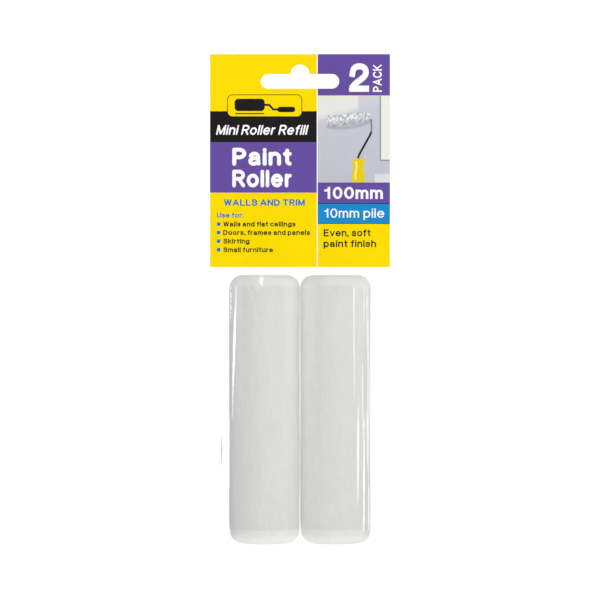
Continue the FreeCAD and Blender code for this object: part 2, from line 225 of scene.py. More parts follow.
class Finish:
    """A material while it is wired up: its tree, its shader and its rest coordinates."""

    def __init__(self, name, colour, **constants):
        self.material = bpy.data.materials.new(name)
        self.material.use_nodes = True
        self.material.diffuse_color = (*colour, 1.0)
        self.tree = self.material.node_tree
        self.shader = self.tree.nodes["Principled BSDF"]
        self.shader.inputs["Base Color"].default_value = (*colour, 1.0)
        for socket, value in constants.items():
            self.shader.inputs[socket.replace("_", " ")].default_value = value
        self.place = self.node("ShaderNodeTexCoord").outputs["Object"]

    def node(self, kind, inputs=None, **settings):
        made = self.tree.nodes.new(kind)
        for name, value in settings.items():
            setattr(made, name, value)
        for socket, value in (inputs or {}).items():
            if isinstance(value, bpy.types.NodeSocket):
                self.tree.links.new(value, made.inputs[socket])
            else:
                made.inputs[socket].default_value = value
        return made

    def stretched(self, scale, turn=(0.0, 0.0, 0.0)):
        """Rest coordinates, scaled along each axis and turned."""
        mapping = self.node("ShaderNodeMapping", {"Vector": self.place})
        mapping.inputs["Scale"].default_value = scale
        mapping.inputs["Rotation"].default_value = turn
        return mapping.outputs["Vector"]

    def grain(self, scale, detail=3.0, roughness=0.5, place=None):
        """Noise from 0 to 1 at so many grains a metre."""
        inputs = {"Vector": place or self.place, "Scale": scale, "Detail": detail, "Roughness": roughness}
        return self.node("ShaderNodeTexNoise", inputs).outputs["Fac"]

    def spread(self, value, low, high, to_low, to_high, smooth=False):
        """The value mapped from one range to another, and held inside it."""
        inputs = {"Value": value, "From Min": low, "From Max": high, "To Min": to_low, "To Max": to_high}
        kind = "SMOOTHSTEP" if smooth else "LINEAR"
        return self.node("ShaderNodeMapRange", inputs, interpolation_type=kind).outputs["Result"]

    def math(self, operation, first, second=0.0):
        return self.node("ShaderNodeMath", {0: first, 1: second}, operation=operation).outputs["Value"]

    def across_and_up(self):
        """The rest position of the shaded point along X and Z, in metres."""
        parts = self.node("ShaderNodeSeparateXYZ", {"Vector": self.place}).outputs
        return parts["X"], parts["Z"]

    def waves(self, scale, distortion, **settings):
        inputs = {"Vector": self.place, "Scale": scale, "Distortion": distortion}
        return self.node("ShaderNodeTexWave", inputs, **settings).outputs["Fac"]

    def blend(self, share, first, second):
        """A colour between two others."""
        mix = self.node("ShaderNodeMix", data_type="RGBA")
        for socket, value in ((0, share), (6, first), (7, second)):
            if isinstance(value, bpy.types.NodeSocket):
                self.tree.links.new(value, mix.inputs[socket])
            else:
                mix.inputs[socket].default_value = value if socket == 0 else (*value, 1.0)
        return mix.outputs[2]

    def colour(self, source):
        self.tree.links.new(source, self.shader.inputs["Base Color"])

    def roughness(self, source):
        self.tree.links.new(source, self.shader.inputs["Roughness"])

    def bump(self, height, distance, strength):
        inputs = {"Height": height, "Distance": distance, "Strength": strength}
        made = self.node("ShaderNodeBump", inputs)
        self.tree.links.new(made.outputs["Normal"], self.shader.inputs["Normal"])
        return made.outputs["Normal"]


def shade(colour, share):
    return tuple(channel * share for channel in colour)


def printed_board(name, colour):
    """Ink on coated board: a faint mottle in the ink, a fine paper tooth and a soft varnish."""
    finish = Finish(name, colour, Specular_IOR_Level=0.03)
    mottle = finish.grain(900.0, 4.0)
    patches = finish.grain(60.0, 2.0)
    inked = finish.blend(finish.spread(mottle, 0.35, 0.65, 0.0, 1.0), shade(colour, 0.985), colour)
    finish.colour(finish.blend(finish.spread(patches, 0.3, 0.7, 0.0, 0.35), inked, shade(colour, 0.975)))
    finish.roughness(finish.spread(mottle, 0.3, 0.7, 0.37, 0.48))
    fibres = finish.grain(1.0, 5.0, 0.6, finish.stretched((4200.0, 4200.0, 1700.0)))
    finish.bump(fibres, 0.000006, 0.5)
    return finish.material


def cut_board(name, colour):
    """The open fibres of the board where it is cut or left bare inside the fold."""
    finish = Finish(name, colour, Roughness=0.85, Specular_IOR_Level=0.2)
    plies = finish.grain(1.0, 4.0, 0.6, finish.stretched((2500.0, 30000.0, 2500.0)))
    finish.colour(finish.blend(plies, shade(colour, 0.86), colour))
    finish.bump(plies, 0.00002, 0.6)
    return finish.material


def picture_wall_paint(name):
    """A pale painted wall with light falling across it from the top left."""
    warm, cool = ink(232, 232, 228), ink(196, 199, 209)
    finish = Finish(name, cool, Roughness=0.42, Specular_IOR_Level=0.08)
    across, up = finish.across_and_up()
    slope = finish.math("ADD", finish.math("MULTIPLY", across, -0.25), up)
    lit = finish.spread(slope, -0.0240, -0.0205, 0.0, 1.0, smooth=True)
    beside = finish.spread(across, 0.0214, 0.0222, 1.0, 0.15, smooth=True)
    ground = finish.blend(finish.spread(up, -0.044, -0.012, 0.0, 1.0), shade(cool, 0.94), shade(cool, 1.04))
    painted = finish.blend(finish.math("MULTIPLY", lit, beside), ground, warm)
    mottle = finish.grain(700.0, 5.0)
    finish.colour(finish.blend(finish.spread(mottle, 0.3, 0.7, 0.0, 0.12), painted, shade(warm, 0.9)))
    finish.roughness(finish.spread(mottle, 0.3, 0.7, 0.38, 0.5))
    return finish.material


def picture_pile_paint(name):
    """The printed roller: woolly lights and darks, with its lower side in shade."""
    finish = Finish(name, ink(225, 226, 230), Roughness=0.42, Specular_IOR_Level=0.2)
    wool = finish.grain(1.0, 6.0, 0.6, finish.stretched((2300.0, 2300.0, 1100.0), (0.0, 0.7, 0.0)))
    across, up = finish.across_and_up()
    level = finish.math("SUBTRACT", up, finish.math("MULTIPLY", across, 0.11))
    under = finish.spread(level, -0.0246, -0.0214, 1.0, 0.0, smooth=True)
    tone = finish.blend(finish.spread(wool, 0.4, 0.6, 0.0, 1.0), ink(158, 161, 171), ink(248, 249, 250))
    finish.colour(finish.blend(finish.math("MULTIPLY", under, 0.55), tone, ink(150, 153, 164)))
    finish.bump(wool, 0.00001, 0.6)
    return finish.material


def tufted_pile(name, settings, low, high):
    """Combed microfibre pile: fine slanting fibres, soft clumps, a paler cut band at the lower end and a
    painted highlight on the band at the upper end.
    """
    pile, trimmed = settings.pile, settings.trimmed
    lower, upper = low + settings.lower_trim, high - settings.upper_trim
    finish = Finish(
        name,
        pile,
        Roughness=0.92,
        Specular_IOR_Level=0.12,
        Subsurface_Weight=0.3,
        Subsurface_Scale=0.001,
        Sheen_Weight=0.25,
        Sheen_Roughness=0.6,
    )
    finish.shader.inputs["Subsurface Radius"].default_value = (1.0, 0.98, 0.94)
    strands = finish.grain(1.0, 4.0, 0.6, finish.stretched((1500.0, 1500.0, 420.0), (0.0, 0.5, 0.3)))
    hairs = finish.grain(1.0, 3.0, 0.7, finish.stretched((5200.0, 5200.0, 1300.0), (0.2, 0.5, 0.3)))
    clumps = finish.grain(1.0, 3.0, 0.5, finish.stretched((420.0, 420.0, 150.0), (0.0, 0.5, 0.35)))
    toned = finish.blend(finish.spread(clumps, 0.35, 0.65, 0.0, 1.0), shade(pile, 0.965), pile)
    toned = finish.blend(finish.spread(strands, 0.35, 0.65, 0.6, 0.0), toned, shade(pile, 0.93))
    _, up = finish.across_and_up()
    bottom = finish.spread(up, lower - 0.0002, lower + 0.0002, 1.0, 0.0)
    top = finish.spread(up, upper - 0.0003, upper + 0.0003, 0.0, 1.0)
    cut = finish.blend(finish.spread(hairs, 0.35, 0.65, 0.0, 1.0), shade(trimmed, 0.95), trimmed)
    # Painted highlight: above the upper band's edge the pile colour is mixed a quarter of the way towards a
    # brighter copy of itself, standing in for light falling on the upper rounding.
    painted_top_light = finish.blend(finish.math("MULTIPLY", top, 0.25), toned, shade(pile, 1.1))
    finish.colour(finish.blend(bottom, painted_top_light, cut))
    both = finish.math("ADD", finish.math("MULTIPLY", strands, 0.45), finish.math("MULTIPLY", hairs, 0.55))
    finish.bump(both, 0.0006, 0.95)
    return finish.material


def knitted_backing(name, colour):
    """Knitted backing cloth: wales that run along the cover and courses that run round it."""
    finish = Finish(name, colour, Roughness=0.9, Specular_IOR_Level=0.15, Sheen_Weight=0.2)
    wales = finish.waves(420.0, 1.4)
    courses = finish.waves(520.0, 0.8, bands_direction="Z")
    knit = finish.math("MULTIPLY", wales, courses)
    finish.colour(finish.blend(knit, shade(colour, 0.72), colour))
    finish.bump(knit, 0.0001, 0.7)
    return finish.material


def moulded_plastic(name, colour, roughness=0.34):
    """Moulded polypropylene: a slightly milky body with flow marks and a fine handled haze."""
    finish = Finish(name, colour, Subsurface_Weight=0.15, Subsurface_Scale=0.0008, IOR=1.49)
    flow = finish.grain(1.0, 3.0, 0.5, finish.stretched((260.0, 260.0, 90.0)))
    haze = finish.grain(2600.0, 3.0)
    finish.colour(finish.blend(finish.spread(flow, 0.3, 0.7, 0.0, 1.0), shade(colour, 0.93), colour))
    finish.roughness(finish.spread(haze, 0.3, 0.7, roughness - 0.06, roughness + 0.1))
    finish.bump(haze, 0.00001, 0.3)
    return finish.material


def wound_core(name, colour):
    """The core tube: moulded plastic with the faint helical lap of its winding."""
    finish = Finish(name, colour, Subsurface_Weight=0.1, Subsurface_Scale=0.0008, IOR=1.49)
    lap = finish.spread(finish.waves(26.0, 0.3, bands_direction="Z"), 0.0, 0.06, 0.0, 1.0)
    haze = finish.grain(2200.0, 3.0)
    finish.colour(finish.blend(lap, shade(colour, 0.84), colour))
    finish.roughness(finish.spread(haze, 0.3, 0.7, 0.36, 0.52))
    finish.bump(lap, 0.00005, 0.5)
    return finish.material


def hot_melt_glue(name):
    """A pressed strip of hot melt glue, cloudy and slightly yellow."""
    finish = Finish(name, ink(236, 228, 200), Subsurface_Weight=0.4, Subsurface_Scale=0.0006)
    patches = finish.grain(500.0, 4.0)
    finish.colour(finish.blend(patches, ink(222, 212, 180), ink(244, 239, 220)))
    finish.roughness(finish.spread(patches, 0.3, 0.7, 0.22, 0.45))
    finish.bump(patches, 0.00004, 0.6)
    return finish.material


FILM_HAZE = 0.02


def clear_film(name, tint, fold=(0.98, 0.985, 0.99)):
    """Clear polypropylene film: it mirrors more as it turns away, and is faintly hazy where it lies taut. A
    point attribute mixes in its plain diffuse colour, for a painted white highlight on the film and a painted
    grey shade on the welds.
    """
    # Its plain diffuse colour serves the faint haze of the taut film, the painted white highlight and, on the
    # welds, the painted grey shade.
    finish = Finish(name, fold, Roughness=0.3)
    ripple = finish.grain(1.0, 2.0, 0.4, finish.stretched((260.0, 260.0, 45.0)))
    normal = finish.bump(ripple, 0.00003, 0.14)
    tree = finish.tree
    clear = finish.node("ShaderNodeBsdfTransparent", {"Color": (*tint, 1.0)})
    gloss = finish.node("ShaderNodeBsdfGlossy", {"Color": (1.0, 1.0, 1.0, 1.0), "Roughness": 0.035})
    tree.links.new(normal, gloss.inputs["Normal"])
    facing = finish.node("ShaderNodeLayerWeight", {"Blend": 0.5}).outputs["Facing"]
    rise = finish.math("MULTIPLY", finish.math("POWER", facing, 5.0), 0.75)
    stretched = finish.node("ShaderNodeAttribute", attribute_name="taut").outputs["Fac"]
    mirror = finish.math("MULTIPLY", finish.math("ADD", rise, 0.042), finish.math("ADD", stretched, 0.08))
    sheer = finish.node("ShaderNodeMixShader", {0: mirror, 1: clear.outputs[0], 2: gloss.outputs[0]})
    # Painted light: this attribute mixes in the plain diffuse colour, white on the film for a painted
    # highlight and grey on the welds for a painted shade.
    crease = finish.node("ShaderNodeAttribute", attribute_name="crease").outputs["Fac"]
    cloudy = finish.math("ADD", crease, finish.math("MULTIPLY", stretched, FILM_HAZE))
    body = finish.node("ShaderNodeMixShader", {0: cloudy, 1: sheer.outputs[0], 2: finish.shader.outputs[0]})
    output = next(n for n in tree.nodes if n.type == "OUTPUT_MATERIAL")
    tree.links.new(body.outputs[0], output.inputs["Surface"])
    return finish.material


def studio_white(name, glow):
    """The pale floor: matt, very slightly mottled, and bright enough to read as white."""
    finish = Finish(name, (0.86, 0.86, 0.86), Roughness=0.9, Specular_IOR_Level=0.1, Emission_Strength=glow)
    finish.shader.inputs["Emission Color"].default_value = (1.0, 1.0, 1.0, 1.0)
    patches = finish.grain(3.0, 2.0)
    finish.colour(finish.blend(patches, (0.85, 0.85, 0.85), (0.87, 0.87, 0.87)))
    return finish.material


# ---------------------------------------------------------------- meshes


def add_object(name, mesh, materials, smooth):
    mesh.polygons.foreach_set("use_smooth", [smooth] * len(mesh.polygons))
    made = bpy.data.objects.new(name, mesh)
    bpy.context.scene.collection.objects.link(made)
    for material in materials:
        mesh.materials.append(material)
    return made


def mesh_object(name, bm, materials, smooth=False):
    mesh = bpy.data.meshes.new(name)
    bm.normal_update()
    bm.to_mesh(mesh)
    bm.free()
    return add_object(name, mesh, materials, smooth)


def grid_faces(rows, columns, wrap_rows=False, wrap_columns=False, start=0):
    """Corner numbers of the faces of a grid of points stored row by row."""
    down = np.arange(rows if wrap_rows else rows - 1)
    across = np.arange(columns if wrap_columns else columns - 1)
    row, column = np.meshgrid(down, across, indexing="ij")
    below, beside = (row + 1) % rows, (column + 1) % columns
    corners = (
        row * columns + column,
        row * columns + beside,
        below * columns + beside,
        below * columns + column,
    )
    return start + np.stack(corners, axis=-1).reshape(-1, 4)


def quad_object(name, points, faces, material):
    mesh = bpy.data.meshes.new(name)
    mesh.from_pydata(points.reshape(-1, 3).tolist(), [], faces.tolist())
    mesh.validate()
    return add_object(name, mesh, [material], True)


def lattice_noise(turns, run, cells_around, cells_along, seed):
    """Smooth noise from -1 to 1 that closes on itself after one turn. Run goes from 0 to 1."""
    values = np.random.RandomState(seed).uniform(-1.0, 1.0, (cells_around, cells_along + 3))
    around = (turns % 1.0) * cells_around
    along = np.clip(run, 0.0, 1.0) * cells_along
    a, b = np.floor(around).astype(int), np.floor(along).astype(int)
    u, v = around - a, along - b
    u, v = u * u * (3 - 2 * u), v * v * (3 - 2 * v)
    left, right = a % cells_around, (a + 1) % cells_around
    near = values[left, b] * (1 - u) + values[right, b] * u
    far = values[left, b + 1] * (1 - u) + values[right, b + 1] * u
    return near * (1 - v) + far * v


# ---------------------------------------------------------------- print


def card_x(across):
    return CARD_LOW.x + across * MM


def card_z(down):
    return CARD_HIGH.z - down * MM


def add_prism(bm, outline, front, depth, material=0):
    """A closed flat piece with the given outline of (x, z) points. Its face looks along -Y."""
    face = [bm.verts.new((x, front, z)) for x, z in outline]
    rear = [bm.verts.new((x, front + depth, z)) for x, z in outline]
    made = [bm.faces.new(face), bm.faces.new(rear[::-1])]
    for i in range(len(outline)):
        j = (i + 1) % len(outline)
        made.append(bm.faces.new((face[j], face[i], rear[i], rear[j])))
    for each in made:
        each.material_index = material


def rounded_box(left, right, top, bottom, radius, steps=6):
    """Outline of a rounded rectangle on the card, in millimetres of print layout."""
    corners = ((right, top, 0), (left, top, 90), (left, bottom, 180), (right, bottom, 270))
    outline = []
    for x, down, start in corners:
        cx = x - radius if x == right else x + radius
        cd = down + radius if down == top else down - radius
        for step in range(steps + 1):
            angle = math.radians(start + 90 * step / steps)
            outline.append((cx + radius * math.cos(angle), cd - radius * math.sin(angle)))
    return outline


def line_sides(line, half, closed=False):
    """The two points half a width to either side of each point of a line, mitred at its corners."""
    sides = []
    for i, point in enumerate(line):
        before = point - line[i - 1] if i else (line[-1] - line[-2] if closed else None)
        after = line[i + 1] - point if i + 1 < len(line) else (line[1] - line[0] if closed else None)
        before, after = (before or after).normalized(), (after or before).normalized()
        along = (before + after).normalized()
        across = Vector((-along.y, along.x)) * half / max(0.6, along.dot(after))
        sides.append((point + across, point - across))
    return sides


def stroke(points, width):
    """Outline of a line of even width through the points, in millimetres of print layout."""
    sides = line_sides([Vector(p) for p in points], width / 2)
    return [tuple(a) for a, b in sides] + [tuple(b) for a, b in reversed(sides)]


LOOP_STEPS = 6


def curve_between(p0, p1, p2, p3, steps):
    """Points of a smooth curve from p1 up to p2, which it doesn't reach."""
    for step in range(steps):
        t = step / steps
        yield 0.5 * (2 * p1 + (p2 - p0) * t + (2 * p0 - 5 * p1 + 4 * p2 - p3) * t * t
                     + (3 * p1 - p0 - 3 * p2 + p3) * t ** 3)


def smooth_loop(points):
    """A closed curve that passes through the points."""
    knots = [Vector(p) for p in points]
    loop = []
    for i in range(len(knots)):
        four = [knots[(i + k - 1) % len(knots)] for k in range(4)]
        loop += [tuple(point) for point in curve_between(*four, LOOP_STEPS)]
    return loop


def on_card(outline):
    return [(card_x(across), card_z(down)) for across, down in outline]


def upright_order(outline):
    """The outline, turned so that its face looks along -Y."""
    area = sum(a[0] * b[1] - b[0] * a[1] for a, b in zip(outline, outline[1:] + outline[:1]))
    return outline if area > 0 else outline[::-1]


def print_piece(name, outlines, layer, lift, materials):
    """One printed piece made of closed flat shapes, so many layers above the board.

    An outline is a list of points, or a pair of that list and the number of its material.
    """
    bm = bmesh.new()
    front = CARD_LOW.y - layer * lift
    for outline in outlines:
        shape, material = outline if isinstance(outline[0], list) else (outline, 0)
        add_prism(bm, upright_order(on_card(shape)), front, (layer + 0.5) * lift, material)
    bmesh.ops.recalc_face_normals(bm, faces=bm.faces)
    piece = mesh_object(name, bm, materials)
    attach(piece, "pack")


# Sign writer's alphabet: each letter's width, then the centre lines of its strokes. Capitals are one
# unit high. A pair is a point; six numbers are an arc: centre, both radii, first and last bearing.
# A stroke that begins with "~" is a smooth curve through its points.
STEM = [(0, 0), (0, 1)]
SHORT_STEM = [(0, 0), (0, 0.72)]
BOWL = [(0.25, 0.36, 0.25, 0.36, 90, 450)]
ARCH = [(0, 0.4), (0.23, 0.44, 0.23, 0.28, 170, 0), (0.46, 0)]
ALPHABET = {
    "A": (0.68, [(0, 0), (0.34, 1)], [(0.34, 1), (0.68, 0)], [(0.13, 0.3), (0.55, 0.3)]),
    "C": (0.66, [(0.36, 0.5, 0.36, 0.5, 42, 318)]),
    "D": (0.6, STEM, [(0.02, 1), (0.24, 1), (0.24, 0.5, 0.36, 0.5, 90, -90), (0.02, 0)]),
    "E": (0.54, STEM, [(0, 1), (0.5, 1)], [(0, 0.53), (0.46, 0.53)], [(0, 0), (0.52, 0)]),
    "F": (0.48, STEM, [(0, 1), (0.5, 1)], [(0, 0.5), (0.42, 0.5)]),
    "I": (0.0, STEM),
    "K": (0.6, STEM, [(0.56, 1), (0.02, 0.36)], [(0.2, 0.56), (0.6, 0)]),
    "L": (0.48, STEM, [(0, 0), (0.46, 0)]),
    "M": (0.7, STEM, [(0.01, 1), (0.35, 0.04)], [(0.35, 0.04), (0.69, 1)], [(0.7, 1), (0.7, 0)]),
    "N": (0.56, STEM, [(0.01, 1), (0.55, 0)], [(0.56, 0), (0.56, 1)]),
    "P": (0.54, STEM, [(0.02, 1), (0.28, 1), (0.28, 0.73, 0.26, 0.27, 90, -90), (0.02, 0.46)]),
    "R": (0.56, STEM, [(0.02, 1), (0.3, 1), (0.3, 0.74, 0.25, 0.26, 90, -90), (0.02, 0.48)],
          [(0.3, 0.46), (0.56, 0)]),
    "S": (0.56, ["~", (0.53, 0.74), (0.48, 0.9), (0.36, 0.99), (0.21, 0.99), (0.07, 0.91), (0.03, 0.76),
                 (0.1, 0.62), (0.27, 0.54), (0.44, 0.47), (0.55, 0.36), (0.56, 0.21), (0.47, 0.07),
                 (0.31, 0), (0.15, 0.02), (0.04, 0.12), (0, 0.28)]),
    "T": (0.58, [(0.02, 1), (0.56, 1)], [(0.29, 1), (0.29, 0)]),
    "U": (0.56, [(0, 1), (0, 0.28), (0.28, 0.28, 0.28, 0.28, 180, 360), (0.56, 1)]),
    "W": (0.86, [(0, 1), (0.21, 0)], [(0.21, 0), (0.43, 1)], [(0.43, 1), (0.65, 0)], [(0.65, 0), (0.86, 1)]),
    "a": (0.47, [(0.23, 0.51, 0.2, 0.21, 165, 0), (0.43, 0.12), (0.46, 0.02)],
          ["~", (0.43, 0.42), (0.3, 0.4), (0.14, 0.37), (0.02, 0.27), (0.02, 0.11), (0.13, 0), (0.28, 0.02),
           (0.39, 0.11), (0.43, 0.24)]),
    "c": (0.46, [(0.26, 0.36, 0.26, 0.36, 42, 318)]),
    "d": (0.5, BOWL, [(0.5, 0), (0.5, 1)]),
    "e": (0.52, [(0.02, 0.37), (0.5, 0.37)], [(0.26, 0.36, 0.26, 0.36, 0, 318)]),
    "f": (0.26, [(0.29, 0.8, 0.17, 0.2, 95, 180), (0.12, 0)], [(0, 0.7), (0.25, 0.7)]),
    "g": (0.5, [(0.25, 0.37, 0.25, 0.35, 90, 450)], [(0.5, 0.72), (0.5, 0), (0.25, 0, 0.25, 0.26, 0, -150)]),
    "h": (0.46, STEM, ARCH),
    "i": (0.0, SHORT_STEM, [(0, 0.96), (0, 0.99)]),
    "k": (0.44, STEM, [(0.4, 0.72), (0.01, 0.28)], [(0.15, 0.44), (0.43, 0)]),
    "l": (0.0, STEM),
    "m": (0.74, SHORT_STEM, [(0, 0.42), (0.185, 0.46, 0.185, 0.26, 170, 0), (0.37, 0)],
          [(0.37, 0.42), (0.555, 0.46, 0.185, 0.26, 170, 0), (0.74, 0)]),
    "n": (0.46, SHORT_STEM, ARCH),
    "o": (0.52, [(0.26, 0.36, 0.26, 0.36, 90, 450)]),
    "p": (0.5, [(0, 0.72), (0, -0.27)], BOWL),
    "r": (0.24, SHORT_STEM, [(0, 0.38), (0.24, 0.42, 0.24, 0.29, 170, 98)]),
    "s": (0.42, ["~", (0.39, 0.55), (0.33, 0.68), (0.2, 0.72), (0.06, 0.66), (0.03, 0.53), (0.11, 0.43),
                 (0.23, 0.38), (0.37, 0.31), (0.41, 0.18), (0.33, 0.04), (0.19, 0), (0.05, 0.04), (0, 0.17)]),
    "t": (0.28, [(0.12, 0.93), (0.12, 0.2), (0.3, 0.2, 0.18, 0.2, 180, 255)], [(0, 0.7), (0.26, 0.7)]),
    "u": (0.46, [(0, 0.72), (0, 0.26), (0.23, 0.26, 0.23, 0.26, 180, 350), (0.46, 0.32)],
          [(0.46, 0.72), (0.46, 0)]),
    "v": (0.46, [(0, 0.72), (0.23, 0)], [(0.23, 0), (0.46, 0.72)]),
    "w": (0.72, [(0, 0.72), (0.18, 0)], [(0.18, 0), (0.36, 0.72)], [(0.36, 0.72), (0.54, 0)],
          [(0.54, 0), (0.72, 0.72)]),
    "y": (0.46, [(0, 0.72), (0.23, 0.02)],
          ["~", (0.46, 0.72), (0.25, 0.06), (0.18, -0.16), (0.1, -0.26), (0, -0.27)]),
    "0": (0.52, [(0.26, 0.5, 0.26, 0.5, 90, 450)]),
    "1": (0.3, [(0.24, 0), (0.24, 1)], [(0, 0.74), (0.12, 0.76), (0.24, 0.96)]),
    "2": (0.54, ["~", (0.01, 0.66), (0.05, 0.86), (0.17, 0.98), (0.34, 0.99), (0.48, 0.91), (0.53, 0.73),
                 (0.47, 0.55), (0.32, 0.4), (0.15, 0.25), (0.03, 0.1), (0.0, 0.02)], [(0, 0), (0.54, 0)]),
    "3": (0.52, ["~", (0.02, 0.76), (0.09, 0.93), (0.25, 1), (0.42, 0.94), (0.48, 0.77), (0.41, 0.6),
                 (0.22, 0.54)],
          ["~", (0.22, 0.54), (0.43, 0.49), (0.52, 0.29), (0.44, 0.08), (0.26, 0), (0.08, 0.06), (0, 0.25)]),
    "4": (0.54, [(0.4, 0), (0.4, 1)], [(0.39, 1), (0.01, 0.3)], [(0, 0.27), (0.54, 0.27)]),
    "6": (0.52, [(0.26, 0.31, 0.26, 0.31, 90, 450)], ["~", (0.48, 0.84), (0.4, 0.97), (0.26, 1), (0.11, 0.92),
                                                     (0.02, 0.68), (0, 0.45), (0.01, 0.3)]),
    ",": (0.02, [(0.02, 0.0), (0.02, 0.04)], [(0.02, -0.02), (-0.02, -0.14)]),
    ":": (0.0, [(0, 0), (0, 0.02)], [(0, 0.6), (0, 0.62)]),
}


def centre_line(stroke_parts, steps):
    """The points of one pen stroke, with arcs and smooth curves drawn out."""
    if stroke_parts[0] == "~":
        knots = [Vector(p) for p in stroke_parts[1:]]
        knots = [2 * knots[0] - knots[1], *knots, 2 * knots[-1] - knots[-2]]
        pieces = max(2, steps // 3)
        fours = zip(knots, knots[1:], knots[2:], knots[3:])
        return [*(point for four in fours for point in curve_between(*four, pieces)), knots[-2]]
    line = []
    for part in stroke_parts:
        if len(part) == 2:
            line.append(Vector(part))
            continue
        x, y, across, up, first, last = part
        pieces = max(3, round(abs(last - first) / 90 * steps))
        for step in range(pieces + 1):
            bearing = math.radians(first + (last - first) * step / pieces)
            line.append(Vector((x + across * math.cos(bearing), y + up * math.sin(bearing))))
    kept = [line[0]]
    for point in line[1:]:
        if (point - kept[-1]).length > 1e-4:
            kept.append(point)
    return kept


def pen_stroke(line, weight, rounded, faces):
    """Adds the strip a pen of the given width leaves along a line."""
    half = weight / 2
    closed = (line[0] - line[-1]).length < 1e-3
    if not closed and not rounded:
        line = [line[0] + (line[0] - line[1]).normalized() * half, *line[1:-1],
                line[-1] + (line[-1] - line[-2]).normalized() * half]
    edges = line_sides(line, half, closed)
    for (a, b), (c, d) in zip(edges, edges[1:]):
        faces.append([a, b, d, c])
    if rounded and not closed:
        for point in (line[0], line[-1]):
            faces.append([point + half * Vector((math.cos(k * math.pi / 8), math.sin(k * math.pi / 8)))
                          for k in range(16)])


def letter_shape(letter, weight, rounded, steps):
    """The corners and triangles of one letter, its strokes merged into one flat shape."""
    faces = []
    half = weight / 2
    for stroke_parts in ALPHABET[letter][1:]:
        line = [Vector((half + p.x, half + p.y * (1 - weight))) for p in centre_line(stroke_parts, steps)]
        low, high = min(p.y for p in line) - half, max(p.y for p in line) + half
        added = []
        pen_stroke(line, weight, rounded, added)
        for face in added:
            faces.append([Vector((p.x, min(max(p.y, low), high))) for p in face])
    corners, loops = [], []
    for face in faces:
        loops.append(list(range(len(corners), len(corners) + len(face))))
        corners += face
    points, _, triangles, _, _, sources = delaunay_2d_cdt(corners, [], loops, 0, 1e-6)
    return points, [t for t, source in zip(triangles, sources) if source]


def word_shape(entry):
    """Corners and triangles of one entry of words, from 0 across to its natural length, in cap heights."""
    steps = 3 if entry.cap < 2.2 else 4 if entry.cap < 3.6 else 6
    points, triangles, pen = [], [], 0.0
    for letter in entry.text:
        if letter == " ":
            pen += WORD_GAP
            continue
        shape, faces = letter_shape(letter, entry.weight, entry.rounded, steps)
        start = len(points)
        points += [(pen + p.x + entry.slant * p.y, p.y) for p in shape]
        triangles += [[start + i for i in face] for face in faces]
        pen += ALPHABET[letter][0] + entry.weight + (ROUND_LETTER_GAP if entry.rounded else LETTER_GAP)
    return np.array(points), triangles


def set_words(bm, entry, front, depth, from_back=False):
    """Sets one entry of words on the card as closed raised letters, fitted to its run length."""
    points, triangles = word_shape(entry)
    along = (points[:, 0] - points[:, 0].min()) * entry.run / np.ptp(points[:, 0]) * MM
    up = points[:, 1] * entry.cap * MM
    start_x, start_z = card_x(entry.across), card_z(entry.baseline)
    x, z = (start_x - up, start_z + along) if entry.turned else (start_x + along, start_z + up)
    face_y, rear_y = front, front + depth
    if from_back:
        x, face_y, rear_y = -x, -face_y, -rear_y
    fronts = [bm.verts.new((px, face_y, pz)) for px, pz in zip(x, z)]
    rears = [bm.verts.new((px, rear_y, pz)) for px, pz in zip(x, z)]
    sides = {}
    for triangle in triangles:
        bm.faces.new([fronts[i] for i in triangle])
        bm.faces.new([rears[i] for i in reversed(triangle)])
        for i, j in zip(triangle, triangle[1:] + triangle[:1]):
            sides[(i, j)] = (j, i) not in sides
            if (j, i) in sides:
                sides[(j, i)] = False
    for (i, j), alone in sides.items():
        if alone:
            bm.faces.new((fronts[j], fronts[i], rears[i], rears[j]))
    for vert in fronts + rears:
        if not vert.link_faces:
            bm.verts.remove(vert)


def print_ink_at(panel, across, down):
    for left, right, top, bottom, name in panel:
        if left <= across <= right and top <= down <= bottom:
            return name
    raise RuntimeError(f"no ink is laid down at {across:.2f} across, {down:.2f} down")


class BuildStep:
    """What every step of the build has in common."""

    bl_options = {"REGISTER", "UNDO"}


